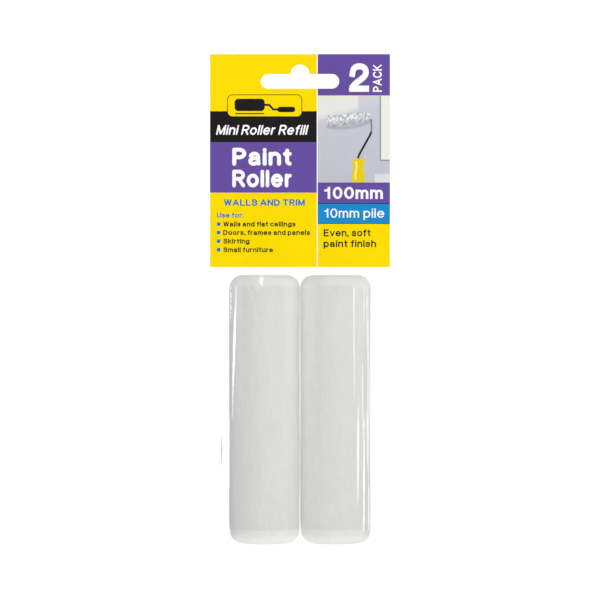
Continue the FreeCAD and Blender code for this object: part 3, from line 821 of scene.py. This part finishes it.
class ROLLERPACK_OT_header_card(BuildStep, bpy.types.Operator):
    """Cuts the folded board along the edges of its print and inks each area"""

    bl_idname = "roller_pack.header_card"
    bl_label = "Header Card"

    def execute(self, context):
        settings = context.scene.roller_pack_card
        inks = ("yellow", "purple", "black", "blue", "white")
        bm = bmesh.new()
        bm.from_mesh(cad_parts["header_card"].data)
        bmesh.ops.remove_doubles(bm, verts=bm.verts, dist=1e-7)
        cuts = {(card_x(edge), "x") for area in FRONT_PRINT for edge in area[:2]}
        cuts |= {(card_z(edge), "z") for area in FRONT_PRINT + BACK_PRINT for edge in area[2:4]}
        for place, axis in sorted(cuts):
            normal = Vector((1, 0, 0)) if axis == "x" else Vector((0, 0, 1))
            if not self.inside(place, axis):
                continue
            everything = bm.verts[:] + bm.edges[:] + bm.faces[:]
            bmesh.ops.bisect_plane(bm, geom=everything, plane_co=normal * place, plane_no=normal, dist=1e-8)
        bm.normal_update()
        outer_face = CARD_HIGH.y - 0.0003
        for face in bm.faces:
            middle = face.calc_center_median()
            across, down = (middle.x - CARD_LOW.x) / MM, (CARD_HIGH.z - middle.z) / MM
            on_fold = down < FOLD_DOWN and abs(face.normal.x) < 0.5
            outside = abs(face.normal.y) > 0.9 and abs(middle.y) > outer_face
            if on_fold or outside:
                panel = FRONT_PRINT if middle.y < 0 or on_fold else BACK_PRINT
                face.material_index = inks.index(print_ink_at(panel, across, max(down, 0.0)))
            else:
                face.material_index = len(inks)
        materials = [printed_board(f"{name}_ink", getattr(settings, name)) for name in inks]
        materials.append(cut_board("bare_board", settings.core))
        card = mesh_object("printed_header_card", bm, materials)
        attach(card, "pack")
        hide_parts("header_card")
        card.visible_diffuse = False
        return {"FINISHED"}

    @staticmethod
    def inside(place, axis):
        low, high = (CARD_LOW.x, CARD_HIGH.x) if axis == "x" else (CARD_LOW.z, CARD_HIGH.z)
        return low + 1e-6 < place < high - 1e-6


class ROLLERPACK_OT_lettering(BuildStep, bpy.types.Operator):
    """Sets the generic words and bullets on both panels of the card"""

    bl_idname = "roller_pack.lettering"
    bl_label = "Lettering"

    def execute(self, context):
        settings = context.scene.roller_pack_card
        lift = settings.print_height
        for name in ("white", "black", "heading"):
            bm = bmesh.new()
            for entries, from_back in ((FRONT_WORDS, False), (BACK_WORDS, True)):
                for entry in entries:
                    if entry.ink == name:
                        set_words(bm, entry, CARD_LOW.y - lift, 1.5 * lift, from_back)
            if name == "heading":
                half = BULLET_SIDE / 2
                for down in BULLETS_DOWN:
                    square = rounded_box(BULLET_LEFT, BULLET_LEFT + BULLET_SIDE, down - half, down + half,
                                         BULLET_ROUNDING, 2)
                    add_prism(bm, upright_order(on_card(square)), CARD_LOW.y - lift, 1.5 * lift)
            bmesh.ops.recalc_face_normals(bm, faces=bm.faces)
            words = mesh_object(
                f"{name}_lettering", bm, [printed_board(f"{name}_letter_ink", getattr(settings, name))]
            )
            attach(words, "pack")
        return {"FINISHED"}


# The badge's sign: roller, wire, handle and the painted line under the roller.
ROLLER_SIGN = (
    rounded_box(9.2, 20.4, 16.7, 21.3, 1.3),
    stroke([(20.3, 19.0), (22.1, 19.0), (23.6, 20.7), (25.4, 20.7)], 0.75),
    rounded_box(25.2, 31.8, 19.7, 21.7, 0.9),
    stroke([(9.4, 22.25), (20.2, 22.25)], 0.4),
)


class ROLLERPACK_OT_badge(BuildStep, bpy.types.Operator):
    """Prints the plain badge with its roller sign across the first two bands"""

    bl_idname = "roller_pack.badge"
    bl_label = "Badge"

    def execute(self, context):
        settings = context.scene.roller_pack_card
        lift = settings.print_height
        dark = printed_board("badge_line_ink", settings.black)
        ground = printed_board("badge_ground_ink", settings.yellow)
        print_piece("badge_outline", [rounded_box(6.4, 34.4, 15.1, 23.5, 1.9)], 1, lift, [dark])
        print_piece("badge_ground", [rounded_box(6.65, 34.15, 15.35, 23.25, 1.65)], 2, lift, [ground])
        print_piece("badge_roller_sign", ROLLER_SIGN, 3, lift, [dark])
        return {"FINISHED"}


PICTURE_WALL = [(40.23, 15.73), (67.2, 15.73), (67.2, 47.98), (40.23, 47.98)]
# What is printed over that wall: piece, layer, then each shape's outline, ink name and colour. The
# roller has no single colour.
PICTURE = (
    ("picture_joinery_shadow", 2, (
        ([(63.35, 15.73), (67.2, 15.73), (67.2, 39.95), (63.35, 39.95)],
         "picture_shadow_ink", (150, 153, 163)),
        ([(61.6, 44.9), (67.2, 44.7), (67.2, 47.98), (61.6, 47.98)],
         "picture_skirting_ink", (222, 223, 224)),
    )),
    ("picture_door_frame", 3, (
        ([(63.85, 15.73), (67.2, 15.73), (67.2, 39.45), (63.85, 39.45)],
         "picture_joinery_ink", (238, 238, 232)),
    )),
    ("picture_mitre_line", 4, ((stroke([(65.1, 38.9), (67.0, 36.8)], 0.12), "mitre_ink", (196, 196, 190)),)),
    ("picture_roller_shade", 2, (
        (smooth_loop([(44.2, 26.6), (50.0, 27.0), (56.0, 25.9), (60.2, 24.4), (60.6, 25.2), (56.4, 27.2),
                      (50.0, 28.2), (44.6, 28.0), (43.2, 27.0)]), "shade_ink", (176, 180, 191)),
    )),
    ("picture_wire", 3, (
        (stroke([(59.3, 23.6), (60.1, 24.6), (60.35, 26.6), (60.25, 29.4)], 0.55),
         "stem_ink", (128, 126, 132)),
        (stroke([(60.3, 28.9), (59.7, 30.4), (55.9, 37.2), (55.4, 38.4), (55.35, 39.9)], 0.75),
         "crank_ink", (46, 44, 50)),
    )),
    ("picture_roller", 4, (
        (smooth_loop([(43.5, 24.6), (43.7, 23.2), (44.9, 22.5), (46.6, 22.7), (48.6, 22.3), (50.7, 22.45),
                      (52.6, 22.0), (54.8, 22.1), (56.8, 21.65), (58.6, 21.6), (59.8, 22.3), (60.1, 23.6),
                      (59.7, 25.0), (58.4, 25.7), (56.4, 25.75), (54.4, 26.3), (52.2, 26.3), (50.2, 26.85),
                      (48.0, 26.75), (46.0, 27.15), (44.4, 26.7), (43.6, 25.8)]), "picture_pile_ink", None),
    )),
    ("picture_handle", 4, (
        (smooth_loop([(53.4, 39.4), (55.5, 38.95), (57.5, 39.3), (57.8, 40.4), (57.2, 41.9), (57.5, 43.6),
                      (57.8, 45.6), (57.6, 47.6), (56.6, 47.9), (54.2, 47.9), (53.1, 47.5), (52.9, 45.4),
                      (53.3, 43.3), (53.7, 41.8), (53.2, 40.4)]), "handle_ink", (236, 206, 26)),
    )),
    ("picture_handle_gloss", 5, (
        (smooth_loop([(54.3, 40.3), (54.9, 40.2), (55.0, 42.2), (54.7, 44.6), (54.6, 46.8), (54.0, 46.6),
                      (54.0, 44.4), (54.4, 42.2)]), "gloss_ink", (252, 238, 122)),
    )),
)


class ROLLERPACK_OT_picture(BuildStep, bpy.types.Operator):
    """Prints the small picture of a roller in use: wall, door frame, roller, wire and handle"""

    bl_idname = "roller_pack.picture"
    bl_label = "Picture"

    def execute(self, context):
        lift = context.scene.roller_pack_card.print_height
        print_piece("picture_wall", [PICTURE_WALL], 1, lift, [picture_wall_paint("picture_wall_ink")])
        for name, layer, shapes in PICTURE:
            inks = [
                printed_board(ink_name, ink(*colour)) if colour else picture_pile_paint(ink_name)
                for _, ink_name, colour in shapes
            ]
            outlines = [(outline, number) for number, (outline, _, _) in enumerate(shapes)]
            print_piece(name, outlines, layer, lift, inks)
        return {"FINISHED"}


class ROLLERPACK_OT_glue(BuildStep, bpy.types.Operator):
    """Gives the two glue strips inside the fold their cloudy finish"""

    bl_idname = "roller_pack.glue"
    bl_label = "Glue Strips"

    def execute(self, context):
        refinish(("front_glue_strip", "back_glue_strip"), hot_melt_glue("pressed_glue"))
        return {"FINISHED"}


# ---------------------------------------------------------------- covers


def refinish(names, material):
    """Gives CAD nodes a finish, and leaves their shape alone."""
    for name in names:
        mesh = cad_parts[name].data
        mesh.materials.clear()
        mesh.materials.append(material)


# Layers of tufts: height, lumps round the pile and along it, and how far they lean round in turns.
TUFTS = (
    (0.00008, 9, 8, 0.0),
    (0.00004, 46, 22, 0.42),
    (0.00005, 110, 60, 0.42),
    (0.00003, 144, 150, 0.62),
)
PROUDEST_TUFT = 0.00005
# The pile steps in over this height where the bands at its two ends begin.
BAND_EDGE = 0.0004


def pile_profile(low, high, outer, settings):
    """Radius, height and how far the tufts may stand out, round one half section of the sleeve."""
    step, lower, upper = settings.row_step, settings.lower_trim, settings.upper_trim
    turns = np.linspace(0.0, math.pi / 2, max(8, round(PILE_ROUNDING * math.pi / 2 / step)) + 1)
    shoulder = outer - PILE_ROUNDING
    straight = max(2, round((high - low - 2 * PILE_ROUNDING) / step))
    radius = [np.linspace(PILE_BORE, shoulder, 5)[:-1], shoulder + PILE_ROUNDING * np.sin(turns)]
    height = [np.full(4, low), low + PILE_ROUNDING * (1 - np.cos(turns))]
    radius.append(np.full(straight - 1, outer))
    height.append(np.linspace(low + PILE_ROUNDING, high - PILE_ROUNDING, straight + 1)[1:-1])
    radius += [shoulder + PILE_ROUNDING * np.sin(turns[::-1]), np.linspace(shoulder, PILE_BORE, 5)[1:]]
    height += [high - PILE_ROUNDING * (1 - np.cos(turns[::-1])), np.full(4, high)]
    radius.append(np.full(11, PILE_BORE))
    height.append(np.linspace(high, low, 13)[1:-1])
    radius, height = np.concatenate(radius), np.concatenate(height)
    proud = np.clip((radius - PILE_BORE) / 0.003, 0.0, 1.0)
    at_bottom = np.clip((low + lower - height) / BAND_EDGE + 0.5, 0.0, 1.0)
    at_top = np.clip((height - high + upper) / BAND_EDGE + 0.5, 0.0, 1.0)
    step_in = at_bottom * 0.00005 + at_top * 0.00003
    return radius - step_in * (radius > shoulder + 0.002), height, proud


def pile_object(name, node, settings, seed):
    """A sleeve of pile, with combed tufts that lean one way round and lumps where it is pressed."""
    low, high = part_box(node)
    middle = (low + high) / 2
    outer = (high.x - low.x) / 2 + 0.00001
    radius, height, proud = pile_profile(low.z, high.z, outer, settings)
    turns = np.arange(settings.around) / settings.around
    run = (height - low.z) / (high.z - low.z)
    grid_run, grid_turn = np.meshgrid(run, turns, indexing="ij")
    tufts = sum(
        rise * lattice_noise(grid_turn + grid_run * lean, grid_run, around, along, seed + number)
        for number, (rise, around, along, lean) in enumerate(TUFTS)
    )
    reach = radius[:, None] + np.minimum(tufts * settings.relief, PROUDEST_TUFT) * proud[:, None]
    angle = grid_turn * 2 * math.pi
    points = np.stack(
        (middle.x + reach * np.cos(angle), middle.y + reach * np.sin(angle),
         np.broadcast_to(height[:, None], reach.shape)),
        axis=-1,
    )
    faces = grid_faces(*reach.shape, wrap_rows=True, wrap_columns=True)[:, ::-1]
    material = tufted_pile(f"{name}_fibres", settings, low.z, high.z)
    return quad_object(name, points, faces, material)


class ROLLERPACK_OT_piles(BuildStep, bpy.types.Operator):
    """Builds the combed pile sleeve of each cover"""

    bl_idname = "roller_pack.piles"
    bl_label = "Pile Sleeves"

    def execute(self, context):
        for number, side in enumerate(SIDES):
            node = f"{side}_nap"
            pile = pile_object(f"{side}_pile", node, context.scene.roller_pack_covers, 11 + 7 * number)
            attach(pile, f"{side}_cover")
            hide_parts(node)
            let_light_through(pile)
        return {"FINISHED"}


class ROLLERPACK_OT_cores(BuildStep, bpy.types.Operator):
    """Finishes the backing, core, bushes and clip of each cover"""

    bl_idname = "roller_pack.cores"
    bl_label = "Backings and Cores"

    def execute(self, context):
        settings = context.scene.roller_pack_covers
        finishes = {
            "backing": knitted_backing("knitted_backing", settings.backing),
            "core_tube": wound_core("core_plastic", settings.core),
            "open_end_bush": moulded_plastic("bush_plastic", settings.bush),
            "closed_end_bush": moulded_plastic("socket_bush_plastic", shade(settings.bush, 0.97)),
            "retaining_clip": moulded_plastic("clip_plastic", settings.clip, 0.28),
        }
        for part, material in finishes.items():
            refinish([f"{side}_{part}" for side in SIDES], material)
        return {"FINISHED"}


# ---------------------------------------------------------------- bag


# Half the thickness of the flattened bag at its mouth and at its bottom.
FLAT_EDGE = 0.00012


def bag_levels(settings):
    """Half straight, radius and height of each level section of the bag, from its mouth down."""
    axis = (COVER_LOW.x + COVER_HIGH.x) / 2
    pile = (COVER_HIGH.x - COVER_LOW.x) / 2
    shoulder_axis = pile - PILE_ROUNDING
    reach = PILE_ROUNDING + settings.stand_off
    _, film_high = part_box("bag_front_film")
    neck = film_high.x
    levels = [(neck - FLAT_EDGE, FLAT_EDGE, z) for z in np.linspace(film_high.z, CARD_LOW.z, 12)]
    top = COVER_HIGH.z - PILE_ROUNDING
    widest = pile + settings.stand_off
    flare = (neck - FLAT_EDGE - axis) / (widest - FLAT_EDGE)
    for share in np.linspace(0.0, 1.0, 7)[1:-1]:
        radius = FLAT_EDGE + (shoulder_axis - FLAT_EDGE) * share
        levels.append((axis + flare * (widest - radius), radius,
                       CARD_LOW.z + (top + reach - CARD_LOW.z) * share ** 0.8))
    for angle in np.radians(np.linspace(90.0, 0.0, 14)):
        radius = shoulder_axis + reach * math.cos(angle)
        levels.append((axis + flare * (widest - radius), radius, top + reach * math.sin(angle)))
    bottom = COVER_LOW.z + PILE_ROUNDING
    for z in np.linspace(top, bottom, 110)[1:-1]:
        levels.append((axis, widest, z))
    for angle in np.radians(np.linspace(0.0, 90.0, 14)):
        radius = shoulder_axis + reach * math.cos(angle)
        levels.append((axis, radius, bottom - reach * math.sin(angle)))
    for share in np.linspace(1.0, 0.0, 8)[1:]:
        radius = max(FLAT_EDGE, shoulder_axis * share)
        levels.append((axis + (shoulder_axis - radius) * 0.55, radius, bottom - reach))
    return np.array(levels)


# Where the left seam is slackest, as a share of the covers' height.
SLACKEST = 0.345


def slackness(height):
    """How far the left seam stands away at a share of the covers' height, from 0 to 1."""
    return np.exp(-(((height - SLACKEST) / 0.12) ** 4))


def section_points(half, radius, z, turn, count):
    """Points and outward directions along one half section, from the seam at -X to the seam at +X."""
    length = math.pi * radius + 2 * half
    run = np.linspace(0.0, length, count)
    corner = math.pi * radius / 2
    left = np.clip(run / radius, 0.0, math.pi / 2)
    right = np.clip((run - corner - 2 * half) / radius, 0.0, math.pi / 2)
    straight = np.clip(run - corner, 0.0, 2 * half)
    angle = np.where(run < corner, math.pi - left, math.pi / 2 - right)
    out_x, out_y = np.cos(angle), -np.sin(angle)
    x = -half + straight + radius * out_x
    y = radius * out_y
    return np.stack((x, turn * y, np.full(count, z)), axis=1), np.stack(
        (out_x, turn * out_y, np.zeros(count)), axis=1
    )


# The film lies tight on the pile from this far above a cover's lower end to this far below its upper end.
TAUT_ABOVE, TAUT_BELOW = 0.0052, 0.0040
# The film stands this much further off the pile, so that its waves never reach it.
WAVE_CLEARANCE = 0.00005
# A painted highlight: a narrow white streak painted into the front film over the left cover's upper end.
PAINTED_GLINT_X, PAINTED_GLINT_TOP, PAINTED_GLINT_BOTTOM, PAINTED_GLINT_WIDTH = -0.01435, -0.0791, -0.0827, 0.0007
# Creases of each film: where across it, top and bottom as shares of the covers' height, width and
# height in millimetres, and drift across from top to bottom.
FRONT_CREASES = (
    (0.902, 0.98, 0.25, 0.7, 0.025, 0.004),
    (0.930, 0.98, 0.22, 0.7, 0.035, -0.002),
    (0.958, 0.95, 0.10, 0.8, 0.035, 0.002),
)
BACK_CREASES = (
    (0.12, 0.9, 0.3, 1.2, 0.08, 0.03),
    (0.21, 0.7, 0.1, 1.0, 0.07, -0.02),
    (0.83, 0.95, 0.4, 1.1, 0.08, -0.02),
    (0.91, 0.8, 0.15, 0.9, 0.06, 0.02),
)


def film_object(name, turn, creases, settings, seed, material):
    """One film of the bag: a closed thin skin, creased, slack at its left side and pleated at its neck."""
    levels = bag_levels(settings)
    count = settings.columns + 1
    widest = levels[:, 1].max()
    outer, outward, patches, taut = [], [], [], []
    share = np.linspace(0.0, 1.0, count)
    for half, radius, z in levels:
        points, direction = section_points(half, radius, z, turn, count)
        height = (z - COVER_LOW.z) / (COVER_HIGH.z - COVER_LOW.z)
        fullness = np.clip((radius / widest - 0.3) / 0.6, 0.0, 1.0)
        swell, cloudy = np.zeros(count), np.zeros(count)
        for at, top, bottom, width, rise, drift in creases:
            fade = np.clip((top + 0.03 - height) / 0.06, 0.0, 1.0)
            fade *= np.clip((height - bottom + 0.03) / 0.06, 0.0, 1.0)
            centre = at + drift * (top - height) / max(top - bottom, 0.01)
            off = (share - centre) * (math.pi * widest + 2 * levels[:, 0].min()) / (width * MM / 2)
            swell += rise * MM * np.exp(-(off ** 2)) * fade
        # Painted highlight: the front film is whitened in a narrow streak here, through the point attribute
        # that mixes in its white diffuse colour.
        if turn > 0 and PAINTED_GLINT_BOTTOM < z < PAINTED_GLINT_TOP:
            cloudy = np.clip(1.6 - np.abs(points[:, 0] - PAINTED_GLINT_X) / (PAINTED_GLINT_WIDTH / 2) * 1.1, 0.0, 1.0)
        held_height = np.full(count, np.clip(height, 0, 1))
        waves = 0.000014 * lattice_noise(share, held_height, 26, 5, seed)
        waves += 0.000005 * lattice_noise(share, held_height, 60, 9, seed + 1)
        waves *= np.clip(np.minimum(share, 1 - share) / 0.12 - 0.8, 0.0, 1.0)
        pleats = (1 - fullness) * np.clip(radius / 0.002, 0.0, 1.0) * (height > 0.5)
        fan = 0.0001 * np.sin(share * 2 * math.pi * 23 + 1.3 * np.sin(share * 17)) * pleats
        swell = (swell + waves + WAVE_CLEARANCE) * fullness
        points = points + direction * swell[:, None]
        points[:, 2] += fan
        slack = settings.bulge * slackness(height) * np.exp(-share / 0.025)
        points[:, 0] -= slack
        outer.append(points)
        outward.append(direction)
        patches.append(cloudy)
        tight = np.clip((z - COVER_LOW.z - TAUT_ABOVE) / 0.0004, 0.0, 1.0)
        tight *= np.clip((COVER_HIGH.z - TAUT_BELOW - z) / 0.0008, 0.0, 1.0)
        taut.append(tight * (1 - np.clip(slack / settings.bulge * 12, 0.0, 1.0)))
    outer, outward, patches = np.array(outer), np.array(outward), np.array(patches)
    down = np.gradient(outer, axis=0)
    along = np.gradient(outer, axis=1)
    normal = np.cross(along, down) * turn
    normal /= np.maximum(np.linalg.norm(normal, axis=2, keepdims=True), 1e-12)
    normal *= np.sign((normal * outward).sum(axis=2, keepdims=True).mean())
    inner = outer - normal * settings.thickness
    inner[:, :, 1] = turn * np.minimum(turn * inner[:, :, 1], 0.0)
    outer[:, :, 1] = turn * np.minimum(turn * outer[:, :, 1], 0.0)
    rows, columns = outer.shape[:2]
    total = rows * columns
    front = grid_faces(rows, columns)
    back = grid_faces(rows, columns, start=total)[:, ::-1]
    ring = np.concatenate((
        np.arange(columns),
        np.arange(1, rows) * columns + columns - 1,
        (rows - 1) * columns + np.arange(columns - 2, -1, -1),
        np.arange(rows - 2, 0, -1) * columns,
    ))
    following = np.roll(ring, -1)
    rim = np.stack((following, ring, ring + total, following + total), axis=1)
    faces = np.concatenate((front, back, rim))
    film = quad_object(name, np.concatenate((outer.reshape(-1, 3), inner.reshape(-1, 3))), faces, material)
    for mark, values in (("crease", patches), ("taut", np.array(taut))):
        layer = film.data.attributes.new(mark, "FLOAT", "POINT")
        layer.data.foreach_set("value", np.tile(values.ravel(), 2).astype(np.float32))
    bm = bmesh.new()
    bm.from_mesh(film.data)
    bmesh.ops.remove_doubles(bm, verts=bm.verts, dist=2e-6)
    bmesh.ops.recalc_face_normals(bm, faces=bm.faces)
    bm.to_mesh(film.data)
    bm.free()
    return film


class ROLLERPACK_OT_bag(BuildStep, bpy.types.Operator):
    """Stretches the front and back film of the bag over the covers"""

    bl_idname = "roller_pack.bag"
    bl_label = "Film Bag"

    def execute(self, context):
        settings = context.scene.roller_pack_bag
        material = clear_film("clear_film", settings.tint)
        for side, turn, creases, seed in (("front", 1, FRONT_CREASES, 5), ("back", -1, BACK_CREASES, 31)):
            film = film_object(f"{side}_film", turn, creases, settings, seed, material)
            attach(film, "pack")
            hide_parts(f"bag_{side}_film")
            let_light_through(film)
        return {"FINISHED"}


class ROLLERPACK_OT_welds(BuildStep, bpy.types.Operator):
    """Runs the two side welds along the seams of the bag"""

    bl_idname = "roller_pack.welds"
    bl_label = "Side Welds"

    def execute(self, context):
        settings = context.scene.roller_pack_bag
        # The grey passed here is the weld's plain diffuse colour, used only for the painted shade at the
        # bulge.
        material = clear_film("weld_film", settings.tint, ink(180, 181, 183))
        angles = [2 * math.pi * step / WELD_SIDES for step in range(WELD_SIDES)]
        for side, sign in (("left", -1), ("right", 1)):
            low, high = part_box(f"{side}_side_weld")
            seam = high.x if sign < 0 else low.x
            bm = bmesh.new()
            rings, cloudy = [], []
            for height in np.linspace(high.z, low.z, 120):
                share = (height - COVER_LOW.z) / COVER_LENGTH
                slack = settings.bulge * slackness(share) if sign < 0 else 0.0
                # Painted shade: where the left seam bulges out, the weld is mixed up to about a third of the
                # way towards grey, standing in for the dark line at the bulging film's edge; the bead also
                # thickens there.
                seen = math.exp(-(((share - SLACKEST) / 0.06) ** 2)) if sign < 0 else 0.0
                cloudy += [0.36 * seen] * WELD_SIDES
                centre = Vector((seam + sign * (slack + 0.0002), 0.0, height))
                bead = WELD_BEAD + 0.00001 * math.sin(height * 1300) + 0.0001 * seen
                rings.append([
                    bm.verts.new(centre + Vector((bead * math.cos(angle), bead * 0.8 * math.sin(angle), 0)))
                    for angle in angles
                ])
            for above, below in zip(rings, rings[1:]):
                for i in range(WELD_SIDES):
                    j = (i + 1) % WELD_SIDES
                    bm.faces.new((above[i], above[j], below[j], below[i]))
            bm.faces.new(rings[0])
            bm.faces.new(rings[-1][::-1])
            bmesh.ops.recalc_face_normals(bm, faces=bm.faces)
            weld = mesh_object(f"{side}_weld_bead", bm, [material], smooth=True)
            weld.data.attributes.new("crease", "FLOAT", "POINT").data.foreach_set("value", cloudy)
            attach(weld, "pack")
            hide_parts(f"{side}_side_weld")
        return {"FINISHED"}


# ---------------------------------------------------------------- stage


def unshading_collection():
    """The pieces that cast no shadow in the softboxes' light: soft pile, clear film and the floor."""
    name = "let_light_through"
    return bpy.data.collections.get(name) or bpy.data.collections.new(name)


def let_light_through(piece):
    group = unshading_collection()
    group.objects.link(piece)
    group.collection_objects[-1].light_linking.link_state = "EXCLUDE"


def area_light(name, place, target, size, power, gloss_only=False):
    lamp = bpy.data.lights.new(name, "AREA")
    lamp.shape = "ELLIPSE" if gloss_only else "RECTANGLE"
    lamp.size, lamp.size_y = size
    lamp.energy = power
    holder = bpy.data.objects.new(name, lamp)
    bpy.context.scene.collection.objects.link(holder)
    holder.location = place
    holder.rotation_euler = (Vector(target) - Vector(place)).to_track_quat("-Z", "Y").to_euler()
    holder.visible_camera = False
    holder.visible_diffuse = not gloss_only
    holder.visible_glossy = gloss_only
    if not gloss_only:
        holder.light_linking.blocker_collection = unshading_collection()
    return holder


FLOOR_LEVEL = -0.26
STRIP_REACH = 0.6
PACK_MIDDLE = (0.0, 0.0, -0.1)
# Soft lights that aim at the middle of the pack: place, size and power.
SOFTBOXES = (
    ("front_softbox", (0.1, -1.45, 0.4), (0.9, 0.9), 9.8),
    ("right_softbox", (1.25, -0.72, 0.3), (0.8, 0.8), 2.6),
    ("left_softbox", (-1.25, -0.72, 0.1), (0.8, 0.8), 0.15),
    ("top_softbox", (0.1, -0.7, 1.0), (0.8, 0.8), 2.0),
    ("rear_softbox", (0.3, 1.3, 0.4), (1.0, 0.8), 5.0),
    ("floor_bounce", (0.0, 0.0, -0.9), (0.3, 0.3), 3.4),
)
# Strip lights that only the gloss sees: bearing from the view in degrees at the top and the bottom,
# top and bottom height, width and brightness.
STRIPS = (
    (62.5, 62.5, -0.045, -0.142, 0.060, 1.8),
    (80.5, 76.0, -0.148, -0.194, 0.038, 5.0),
    (98.0, 99.0, -0.122, -0.165, 0.022, 5.0),
    (107.0, 103.0, -0.150, -0.258, 0.032, 8.5),
    (108.0, 105.0, -0.064, -0.100, 0.026, 3.5),
    (126.0, 125.0, -0.064, -0.116, 0.028, 9.0),
    (127.0, 125.0, -0.146, -0.178, 0.028, 12.0),
    (136.0, 136.0, -0.050, -0.240, 0.150, 1.15),
    (156.0, 156.0, -0.050, -0.240, 0.220, 0.75),
    (-100.0, -130.0, -0.080, -0.146, 0.030, 1.8),
    (-107.5, -124.0, -0.094, -0.132, 0.022, 4.0),
    (-140.0, -142.0, -0.070, -0.098, 0.030, 4.0),
)


class ROLLERPACK_OT_studio(BuildStep, bpy.types.Operator):
    """Sets up the camera, the pale floor, the soft lights and the white surround"""

    bl_idname = "roller_pack.studio"
    bl_label = "Studio"

    def execute(self, context):
        scene = context.scene
        settings = scene.roller_pack_studio
        lens = bpy.data.cameras.new("studio_camera")
        lens.lens = settings.lens
        lens.sensor_width = 36.0
        lens.clip_start, lens.clip_end = 0.05, 20.0
        camera = bpy.data.objects.new("studio_camera", lens)
        scene.collection.objects.link(camera)
        distance = settings.seen_width / 2 / (lens.sensor_width / 2 / lens.lens)
        camera.location = (0.0, -distance, settings.eye_level)
        camera.rotation_euler = (math.pi / 2, 0.0, 0.0)
        scene.camera = camera
        scene.view_settings.view_transform = "Standard"
        scene.view_settings.look = "None"
        self.surround(scene, settings)
        self.floor()
        for name, place, size, power in SOFTBOXES:
            area_light(name, place, PACK_MIDDLE, size, power)
        for number, (top, bottom, high, low, width, glow) in enumerate(STRIPS):
            self.strip(f"gloss_strip_{number}", top, bottom, high, low, width, glow)
        return {"FINISHED"}

    @staticmethod
    def surround(scene, settings):
        world = bpy.data.worlds.new("white_surround")
        scene.world = world
        world.use_nodes = True
        tree = world.node_tree
        tree.nodes.clear()
        path = tree.nodes.new("ShaderNodeLightPath")
        mix = tree.nodes.new("ShaderNodeMixShader")
        output = tree.nodes.new("ShaderNodeOutputWorld")
        tree.links.new(path.outputs["Is Camera Ray"], mix.inputs[0])
        for socket, strength in ((1, settings.ambient), (2, settings.background)):
            background = tree.nodes.new("ShaderNodeBackground")
            background.inputs["Color"].default_value = (1.0, 1.0, 1.0, 1.0)
            background.inputs["Strength"].default_value = strength
            tree.links.new(background.outputs[0], mix.inputs[socket])
        tree.links.new(mix.outputs[0], output.inputs["Surface"])

    @staticmethod
    def floor():
        bm = bmesh.new()
        bmesh.ops.create_circle(bm, cap_ends=True, segments=96, radius=0.5)
        bmesh.ops.translate(bm, verts=bm.verts, vec=(0.0, 0.0, FLOOR_LEVEL))
        floor = mesh_object("studio_floor", bm, [studio_white("studio_floor_white", 0.68)])
        floor.visible_diffuse = False
        floor.visible_glossy = False
        let_light_through(floor)

    @staticmethod
    def strip(name, top, bottom, high, low, width, glow):
        """A narrow light at arm's length that leans from one bearing to another."""
        ends = []
        for bearing, height in ((top, high), (bottom, low)):
            angle = math.radians(bearing)
            ends.append(Vector((STRIP_REACH * math.sin(angle), -STRIP_REACH * math.cos(angle), height)))
        middle = (ends[0] + ends[1]) / 2
        run = ends[0] - ends[1]
        light = area_light(name, middle, (0.0, 0.0, middle.z), (width, run.length),
                           glow * math.pi * width * run.length, gloss_only=True)
        facing = (Vector((0.0, 0.0, middle.z)) - middle).normalized()
        up = run.normalized()
        across = up.cross(-facing).normalized()
        light.rotation_euler = Matrix((across, up, across.cross(up))).transposed().to_euler()


class ROLLERPACK_PT_sidebar(bpy.types.Panel):
    """Lists the steps that build the pack"""

    bl_label = "Roller Cover Pack"
    bl_idname = "ROLLERPACK_PT_sidebar"
    bl_space_type = "VIEW_3D"
    bl_region_type = "UI"
    bl_category = "Roller Pack"

    def draw(self, context):
        layout = self.layout
        for step in STEPS:
            layout.operator(step.bl_idname, text=step.bl_label)
        for name, group in SETTINGS.items():
            box = layout.box()
            settings = getattr(context.scene, name)
            for setting in group.__annotations__:
                box.prop(settings, setting)


# ---------------------------------------------------------------- registration and build

SETTINGS = {
    "roller_pack_card": CardSettings,
    "roller_pack_covers": CoverSettings,
    "roller_pack_bag": BagSettings,
    "roller_pack_studio": StudioSettings,
}
STEPS = (
    ROLLERPACK_OT_studio,
    ROLLERPACK_OT_header_card,
    ROLLERPACK_OT_lettering,
    ROLLERPACK_OT_badge,
    ROLLERPACK_OT_picture,
    ROLLERPACK_OT_glue,
    ROLLERPACK_OT_piles,
    ROLLERPACK_OT_cores,
    ROLLERPACK_OT_bag,
    ROLLERPACK_OT_welds,
)


def register():
    for each in (*SETTINGS.values(), *STEPS, ROLLERPACK_PT_sidebar):
        bpy.utils.register_class(each)
    for name, group in SETTINGS.items():
        setattr(bpy.types.Scene, name, PointerProperty(type=group))


def unregister():
    for name in SETTINGS:
        delattr(bpy.types.Scene, name)
    for each in (ROLLERPACK_PT_sidebar, *reversed(STEPS), *reversed(SETTINGS.values())):
        bpy.utils.unregister_class(each)


def main():
    register()
    bpy.ops.roller_pack.studio()
    bpy.ops.roller_pack.header_card()
    bpy.ops.roller_pack.lettering()
    bpy.ops.roller_pack.badge()
    bpy.ops.roller_pack.picture()
    bpy.ops.roller_pack.glue()
    bpy.ops.roller_pack.piles()
    bpy.ops.roller_pack.cores()
    bpy.ops.roller_pack.bag()
    bpy.ops.roller_pack.welds()


if __name__ == "__main__":
    main()
